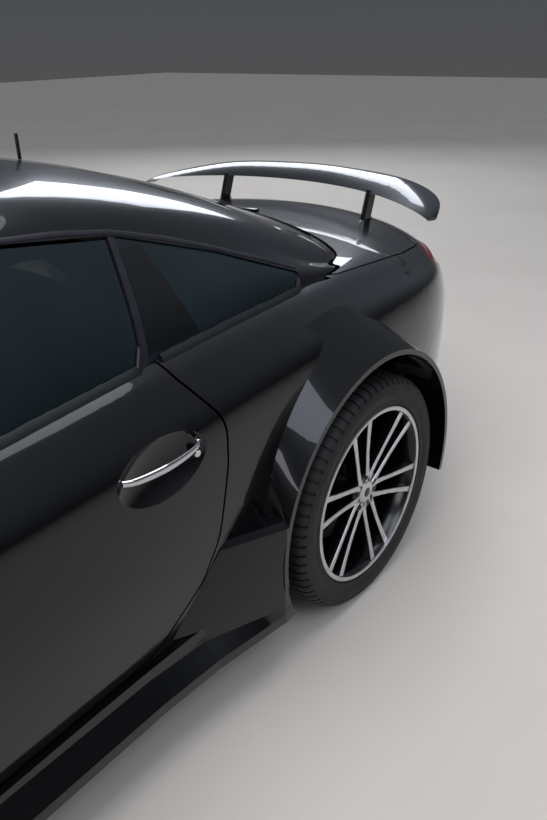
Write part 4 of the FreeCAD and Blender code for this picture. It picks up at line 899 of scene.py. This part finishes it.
def swollen(piece):
    """The block remeshed, blown up as a cloth bag for some frames and held near its first shape."""
    choose(piece)
    mod = piece.modifiers.new("voxels", "REMESH")
    mod.mode = "VOXEL"
    mod.voxel_size = SEAT_VOXEL * MM
    bpy.ops.object.modifier_apply(modifier="voxels")
    first = [v.co.copy() for v in piece.data.vertices]
    cloth = piece.modifiers.new("hide", "CLOTH")
    cloth.settings.use_pressure = True
    cloth.settings.uniform_pressure_force = 4.0
    cloth.settings.effector_weights.gravity = 0.0
    cloth.point_cache.frame_end = SWELL_FRAMES
    for step in range(1, SWELL_FRAMES + 1):
        bpy.context.scene.frame_set(step)
    choose(piece)
    bpy.ops.object.modifier_apply(modifier="hide")
    bpy.context.scene.frame_set(1)
    for vertex, start in zip(piece.data.vertices, first):
        move = vertex.co - start
        if move.length > SEAT_SWELL * MM:
            vertex.co = start + move.normalized() * SEAT_SWELL * MM
    return piece


def sewn(piece, lines, deep=6.0, reach=11.0):
    """Draws the skin in along each sewn line; a line is its two ends in mm."""
    for vertex in piece.data.vertices:
        place = vertex.co / MM
        pull = 0.0
        for a, b in lines:
            along = b - a
            share = max(0.0, min(1.0, (place - a).dot(along) / along.length_squared))
            gap = (place - (a + along * share)).length
            if gap < reach:
                pull = max(pull, 0.5 + 0.5 * math.cos(math.pi * gap / reach))
        if pull:
            vertex.co -= vertex.normal * (deep * pull * MM)
    piece.data.update()
    return piece


def stitches(name, piece, lines, pitch=7.0):
    """A row of thread beads along each line, sunk half into the skin."""
    tree = search_tree(piece.data)
    clear()
    bead = block("bead", (-1.0, -2.4, -0.8), (1.0, 2.4, 0.8))
    beads = []
    for a, b in lines:
        count = int((b - a).length / pitch)
        turn = (b - a).normalized()
        for k in range(count):
            spot = a.lerp(b, (k + 0.5) / count)
            near, normal, _, _ = tree.find_nearest(spot * MM)
            if near is None:
                continue
            side = turn.cross(normal).normalized()
            shape = Matrix((side, turn, normal)).transposed().to_4x4()
            beads.append(copied(bead, "bead", Matrix.Translation(near) @ shape))
    bpy.data.objects.remove(bead)
    return joined(name, beads)


def base_section(x, low, bolster, centre, half):
    """One closed outline across the seat cushion, with a raised roll at each side."""
    right = [(half, low), (half + 5, (low + bolster) / 2), (half - 6, bolster - 8), (half - 30, bolster),
             (half - 60, bolster - 14), (half - 84, centre)]
    left = [(-y, z) for y, z in reversed(right)]
    return [Vector((x, SEAT_Y + y, z)) for y, z in right + [(0, centre + 5)] + left]


def at_back(share, y, depth):
    """A place in the left backrest: share of its height, y from its middle, depth from its rear face."""
    front = BACK_FRONT[0].lerp(BACK_FRONT[1], share)
    rear = BACK_REAR[0].lerp(BACK_REAR[1], share)
    return rear.lerp(front, depth) + Vector((0, SEAT_Y + y, 0))


def back_section(share, half, bolster, centre):
    """One closed outline across the backrest; its depths are shares of the back's thickness."""
    right = [(half, 0.16), (half + 4, 0.55), (half - 4, bolster - 0.06), (half - 26, bolster),
             (half - 52, bolster - 0.08), (half - 76, centre)]
    left = [(-y, d) for y, d in reversed(right)]
    return [at_back(share, y, d) for y, d in right + [(0, centre + 0.03)] + left]


# Columns: x, underside, roll, centre and half width of the cushion
BASE_ROWS = [(-262, 318, 400, 378, 208), (-150, 314, 416, 386, 222), (40, 314, 420, 392, 226),
             (160, 316, 418, 398, 224), (205, 322, 404, 394, 216), (224, 340, 380, 376, 204)]
# Columns: share of the height, half width, roll and centre of the backrest
BACK_ROWS = [(0.03, 206, 0.86, 0.66), (0.2, 222, 0.94, 0.66), (0.42, 225, 0.94, 0.62),
             (0.6, 212, 0.84, 0.62), (0.72, 178, 0.74, 0.66), (0.79, 130, 0.7, 0.68),
             (0.9, 120, 0.78, 0.8), (0.97, 104, 0.66, 0.68)]


def seat_pads():
    """The cushion, the backrest and their seams for the left seat."""
    cushion = swollen(drawn("seat_cushion", [base_section(*row) for row in BASE_ROWS]))
    rest = swollen(drawn("seat_back", [back_section(*row) for row in BACK_ROWS]))
    base_lines = [(Vector((-240, SEAT_Y + y, 396)), Vector((196, SEAT_Y + y, 400))) for y in (-134, 134)]
    base_lines += [(Vector((x, SEAT_Y - 128, 398)), Vector((x, SEAT_Y + 128, 398)))
                   for x in (-170, -100, -30, 40, 110)]
    back_lines = [(at_back(0.1, y, 0.76), at_back(0.62, y * 0.92, 0.72)) for y in (-142, 142)]
    back_lines += [(at_back(share, -132, 0.72), at_back(share, 132, 0.72))
                   for share in (0.2, 0.3, 0.4, 0.5, 0.6)]
    back_lines += [(at_back(0.745, -150, 0.72), at_back(0.745, 150, 0.72))]
    sewn(cushion, base_lines)
    sewn(rest, back_lines)
    threads = joined("threads", [stitches("threads", cushion, base_lines[:2]),
                                 stitches("threads", rest, back_lines[:2])])
    return cushion, rest, threads


# Columns: name, rear and front x, half width, low and high z, rounding
FRAME_BLOCKS = (("slide", -270, 210, 17, 202, 226, 3.0), ("upper", -250, 190, 11, 226, 246, 2.0),
                ("foot", -226, -174, 9, 246, 304, 3.0), ("foot", 104, 156, 9, 246, 304, 3.0))


def seat_frame():
    """The hard shell behind the backrest, the pan below the cushion and the slides on the floor."""
    shell_rows = []
    for share, half in ((0.0, 222), (0.2, 236), (0.6, 226), (0.74, 176), (0.8, 134), (0.95, 116)):
        edge = ((-half, 0.26), (-half, 0.04), (-half + 30, -0.02), (half - 30, -0.02), (half, 0.04),
                (half, 0.26), (half - 12, 0.26), (half - 14, 0.1), (-half + 14, 0.1), (-half + 12, 0.26))
        shell_rows.append([at_back(share, y, depth) for y, depth in edge])
    shell = drawn("shell", shell_rows)
    pan = soften(block("pan", (-276, SEAT_Y - 214, 302), (214, SEAT_Y + 214, 318)), 5.0, 3)
    parts = [soften(shell, 2.0, 2), pan]
    for y in (SEAT_Y - 180, SEAT_Y + 180):
        for name, low_x, high_x, half, low, high, rounding in FRAME_BLOCKS:
            piece = block(name, (low_x, y - half, low), (high_x, y + half, high))
            parts.append(soften(piece, rounding, 2))
    parts.append(rod("lever", (205, SEAT_Y + 60, 268), (205, SEAT_Y - 60, 268), 5, 16))
    parts += [rod("lever_leg", (205, SEAT_Y + y, 268), (130, SEAT_Y + y, 300), 5, 16) for y in (-60, 60)]
    for y in (-216, 216):
        parts.append(spun("pivot", [(0, 0), (34, 0), (34, 8), (28, 12), (0, 12)], (-262, SEAT_Y + y, 372),
                          (0, 1 if y > 0 else -1, 0), 36))
    return joined("seat_frame", parts)


cushion, rest, threads = seat_pads()
for piece, name in ((cushion, "seat_cushion"), (rest, "seat_back")):
    for made in both_sides(piece, name, leather, "body"):
        if name == "seat_cushion" and made.name.endswith("left"):
            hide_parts("seats")
both_sides(threads, "seat_stitches", thread, "body")
both_sides(seat_frame(), "seat_frame", grained_plastic, "body")


# Cabin: hood over the dials, air vents, a screen, the wheel's pad, floor mats and the door cards
HOOD_EDGE = ((-150, 796), (-146, 826), (-120, 850), (0, 860), (120, 850), (146, 826), (150, 796),
             (140, 796), (136, 822), (114, 842), (0, 850), (-114, 842), (-136, 822), (-140, 796))
FACE_EDGE = ((-138, 797), (-134, 820), (-112, 840), (0, 848), (112, 840), (134, 820), (138, 797))
hood = drawn("dial_hood", [[Vector((x, SEAT_Y + y, z + lift)) for y, z in HOOD_EDGE]
                           for x, lift in ((508, 0), (560, -6), (620, -22), (665, -46))])
dressed(soften(hood, 2.0, 2), dash_skin, "body", slot="dash_plastic")
face = drawn("dial_face", [[Vector((x, SEAT_Y + y, z)) for y, z in FACE_EDGE] for x in (540, 546)])
dressed(face, gloss_plastic, "body")
for k, y in enumerate((-62, 62)):
    dial = spun(f"dial_ring_{k}", [(19, 0), (22, 0), (23, 3), (21, 4), (19, 2)], (541, SEAT_Y + y, 820),
                (-1, 0, 0), 48)
    dressed(dial, chrome, "body")

# Where the dashboard's rear face lies if a ray misses it
DASH_X = 383.0


def dash_front(y, z):
    """How far forward the dashboard's rear face lies."""
    hit = cast(["dashboard"], (INNER_X, y, z), (1, 0, 0))
    return hit[0].x if hit else DASH_X


def vent(name, y, z, half_y, half_z):
    """A framed air outlet with slats and a turning knob, on the dash's rear face."""
    x = dash_front(y, z)
    low_y, high_y, low_z, high_z = y - half_y, y + half_y, z - half_z, z + half_z
    parts = [block("frame", (x - 6, low_y, high_z - 5), (x + 1, high_y, high_z)),
             block("frame", (x - 6, low_y, low_z), (x + 1, high_y, low_z + 5)),
             block("frame", (x - 6, low_y, low_z + 5), (x + 1, low_y + 5, high_z - 5)),
             block("frame", (x - 6, high_y - 5, low_z + 5), (x + 1, high_y, high_z - 5))]
    for rise in range(12 - half_z, half_z - 7, 8):
        parts.append(block("slat", (x - 4.5, low_y + 5, z + rise - 1), (x + 0.5, high_y - 5, z + rise + 1)))
    parts.append(block("knob", (x - 7, y - 6, z - 4), (x - 2, y + 6, z + 4)))
    return soften(joined(name, parts), 0.8, 2)


for name, y, half_y in (("vent_left", 610, 55), ("vent_middle_left", 62, 52),
                        ("vent_middle_right", -62, 52), ("vent_right", -610, 55)):
    dressed(vent(name, y, 735, half_y, 30), grained_plastic, "body")
screen_x = dash_front(0, 650)
screen = soften(block("screen", (screen_x - 4, -98, 598), (screen_x + 1, 98, 690)), 2.0, 3)
dressed(screen, gloss_plastic, "body")
keys = [soften(block("key", (screen_x - 6, y - 13, 566), (screen_x + 1, y + 13, 580)), 1.5, 2)
        for y in (-84, -50, -17, 17, 50, 84)]
dressed(joined("screen_keys", keys), grained_plastic, "body")
for k, y in enumerate((-60, 60)):
    knob = spun(f"dash_knob_{k}", [(0, 0), (21, 0), (20, 12), (17, 16), (0, 17)], (screen_x + 1, y, 520),
                (-1, 0, 0), 48)
    dressed(knob, rail_trim, "body")

column = math.radians(STEER_TILT)
wheel_axis = Vector((-math.cos(column), 0, math.sin(column)))
wheel_front = Vector(STEER_CENTRE) + wheel_axis * 2
pad = spun("wheel_pad", [(0, 18), (30, 17), (48, 12), (56, 4), (58, -10), (54, -16), (0, -16)],
           wheel_front, wheel_axis, 56)
dressed(pad, leather, "steering_wheel", slot="cabin_leather")
ring = spun("wheel_pad_ring", [(26, 16.6), (29, 16.4), (29, 19), (26, 19.2)], wheel_front, wheel_axis, 56)
dressed(ring, rail_trim, "steering_wheel")

for side, s in SIDES:
    outlines = []
    for x in (-60, 60, 180, 300, 420, 520):
        spots = [cast(["body_frame"], (x, s * y, INNER_Z), (0, 0, -1)) for y in (180, 370, 560)]
        if all(spots):
            outlines.append(slab(spots, (0, 0, 9), (0, 0, 1)))
    if len(outlines) > 2:
        dressed(drawn(f"floor_mat_{side}", outlines), carpet, "body")


def door_card():
    """The padded lining on the door's inner face, with an armrest."""
    def door_inside(x, z):
        return cast(["door_left"], (x, INNER_Y, z), (0, 1, 0))

    rows = [[door_inside(x, z) for z in (330, 430, 530, 630, 730, 800)] for x in range(-560, 561, 80)]
    card = drawn("card", [slab(spots, (0, -7, 0), (0, -0.4, 0)) for spots in rows if all(spots)])
    y = door_inside(-150, 560)[0].y
    arm_rows = []
    for x, reach in ((-420, 20), (-340, 52), (-60, 58), (120, 40), (180, 16)):
        edge = ((0, 520), (reach, 548), (reach + 4, 572), (reach - 6, 588), (0, 592))
        arm_rows.append([Vector((x, y - depth, z)) for depth, z in edge])
    arm = drawn("arm", arm_rows)
    return joined("door_card", [card, soften(arm, 5.0, 3)])


both_sides(door_card(), "door_card", leather, "door_SIDE")


# Reflectors and parking sensors, laid on the bumpers
SENSOR_EDGE = [(0, 1.6), (8, 1.4), (10, 0.4), (11, 0.8), (12, 0.5), (12, -2), (0, -2)]
for side, s in SIDES:
    hits = [from_rear(["rear_bumper"], s * (560 + 20 * k), 395) for k in range(9)]
    outlines = [bar_section(hit[0], -2.5, 4, 12, 14) for hit in hits if hit]
    if len(outlines) > 2:
        dressed(soften(drawn(f"rear_reflector_{side}", outlines), 1.0, 2), red_lens, "body")
    for end, look, z in (("rear", from_rear, 560), ("front", from_front, 455)):
        for k, y in enumerate((250, 640)):
            hit = look([f"{end}_bumper"], s * y, z)
            if hit:
                sensor = spun(f"parking_sensor_{end}_{side}_{k}", SENSOR_EDGE, hit[0], hit[1], 32)
                dressed(sensor, paint, "body", slot="black_paint")

# The shut line of the fuel flap, on the right side
FLAP_X, FLAP_Z, FLAP_HALF, FLAP_STEPS = -1430, 770, (82, 66), 48
flap = []
for k in range(FLAP_STEPS):
    turn = 2 * math.pi * k / FLAP_STEPS
    start = (FLAP_X + FLAP_HALF[0] * math.cos(turn), -BESIDE, FLAP_Z + FLAP_HALF[1] * math.sin(turn))
    hit = cast(["quarter_panels"], start, (0, 1, 0))
    if hit:
        rim = hit[0]
        middle = (Vector((FLAP_X, rim.y, FLAP_Z)) - rim).normalized() * 3
        out, sunk = Vector((0, -0.5, 0)), Vector((0, 1.5, 0))
        flap.append([rim + out, rim + middle + out, rim + middle + sunk, rim + sunk])
if len(flap) == FLAP_STEPS:
    dressed(drawn("fuel_flap_gap", flap + [flap[0]]), seal_rubber, "body")


# Camera at the photograph's place, solved from the rear rim's ellipse and the vanishing points
FOCAL_PIXELS = 724.575
PHOTO_HEIGHT = 820.0
SENSOR = 36.0
eye = Vector((0.3656, 1.8510, 1.5246))
ahead = Vector((-0.69015521, -0.56220923, -0.45563864))
up = Vector((-0.36611452, -0.27184308, 0.88997837))
right = ahead.cross(up).normalized()
up = right.cross(ahead).normalized()
camera_data = bpy.data.cameras.new("photo_camera")
camera_data.sensor_width = SENSOR
camera_data.lens = FOCAL_PIXELS / PHOTO_HEIGHT * SENSOR
camera = bpy.data.objects.new("photo_camera", camera_data)
bpy.context.scene.collection.objects.link(camera)
camera.matrix_world = Matrix(((right.x, up.x, -ahead.x, eye.x), (right.y, up.y, -ahead.y, eye.y),
                              (right.z, up.z, -ahead.z, eye.z), (0, 0, 0, 1)))
bpy.context.scene.camera = camera

# Floor, soft light and a sky that is dark at the horizon and pale overhead
clear()
bpy.ops.mesh.primitive_plane_add(size=60.0, location=(0, 0, 0))
floor = bpy.context.object
floor.name = "studio_floor"
# Seamless studio paper: pale, warm and matt
paper = surface("pale_studio_paper", 900.0, 2.0, "#c6beb3", "#ccc4b9", Roughness=0.8)[0]
floor.data.materials.append(paper)


def softbox(name, place, target, width, height, power, colour):
    """An area lamp at a place in metres that looks at its target."""
    data = bpy.data.lights.new(name, "AREA")
    data.shape = "RECTANGLE"
    data.size = width
    data.size_y = height
    data.energy = power
    data.color = linear(colour)[:3]
    lamp = bpy.data.objects.new(name, data)
    bpy.context.scene.collection.objects.link(lamp)
    lamp.location = place
    lamp.rotation_euler = (Vector(target) - Vector(place)).to_track_quat("-Z", "Y").to_euler()


softbox("overhead_softbox", (-0.5, 0.5, 5.0), (-0.5, 0, 0), 5.0, 4.0, 190.0, "#f2f6ff")
softbox("left_high_softbox", (0.8, 5.0, 5.4), (-0.8, 0.5, 0.6), 4.0, 2.6, 120.0, "#e6eeff")
softbox("rear_right_softbox", (-7.5, -5.0, 4.6), (-1.2, 0, 0.8), 5.0, 3.0, 230.0, "#eef4ff")
softbox("front_softbox", (6.5, 2.5, 4.0), (1.2, 0, 0.6), 3.5, 2.5, 110.0, "#f4f6ff")
world = bpy.data.worlds.new("studio_world")
bpy.context.scene.world = world
world.use_nodes = True
tree = world.node_tree
direction = add(tree, "ShaderNodeTexCoord").outputs["Generated"]
height = add(tree, "ShaderNodeSeparateXYZ", {"Vector": direction}).outputs["Z"]
band = add(tree, "ShaderNodeMapRange", {"Value": height, "From Min": -0.2,
                                        "From Max": 1.0}).outputs["Result"]
sky = add(tree, "ShaderNodeValToRGB", {"Fac": band}, stops=[(0.0, "#6f6c68"), (0.24, "#5f6268"),
                                                            (0.5, "#8f97a4"), (0.75, "#c9d1dd")])
tree.nodes["Background"].inputs["Strength"].default_value = 0.6
tree.links.new(sky.outputs["Color"], tree.nodes["Background"].inputs["Color"])
bpy.context.scene.view_settings.view_transform = "Standard"

clear()
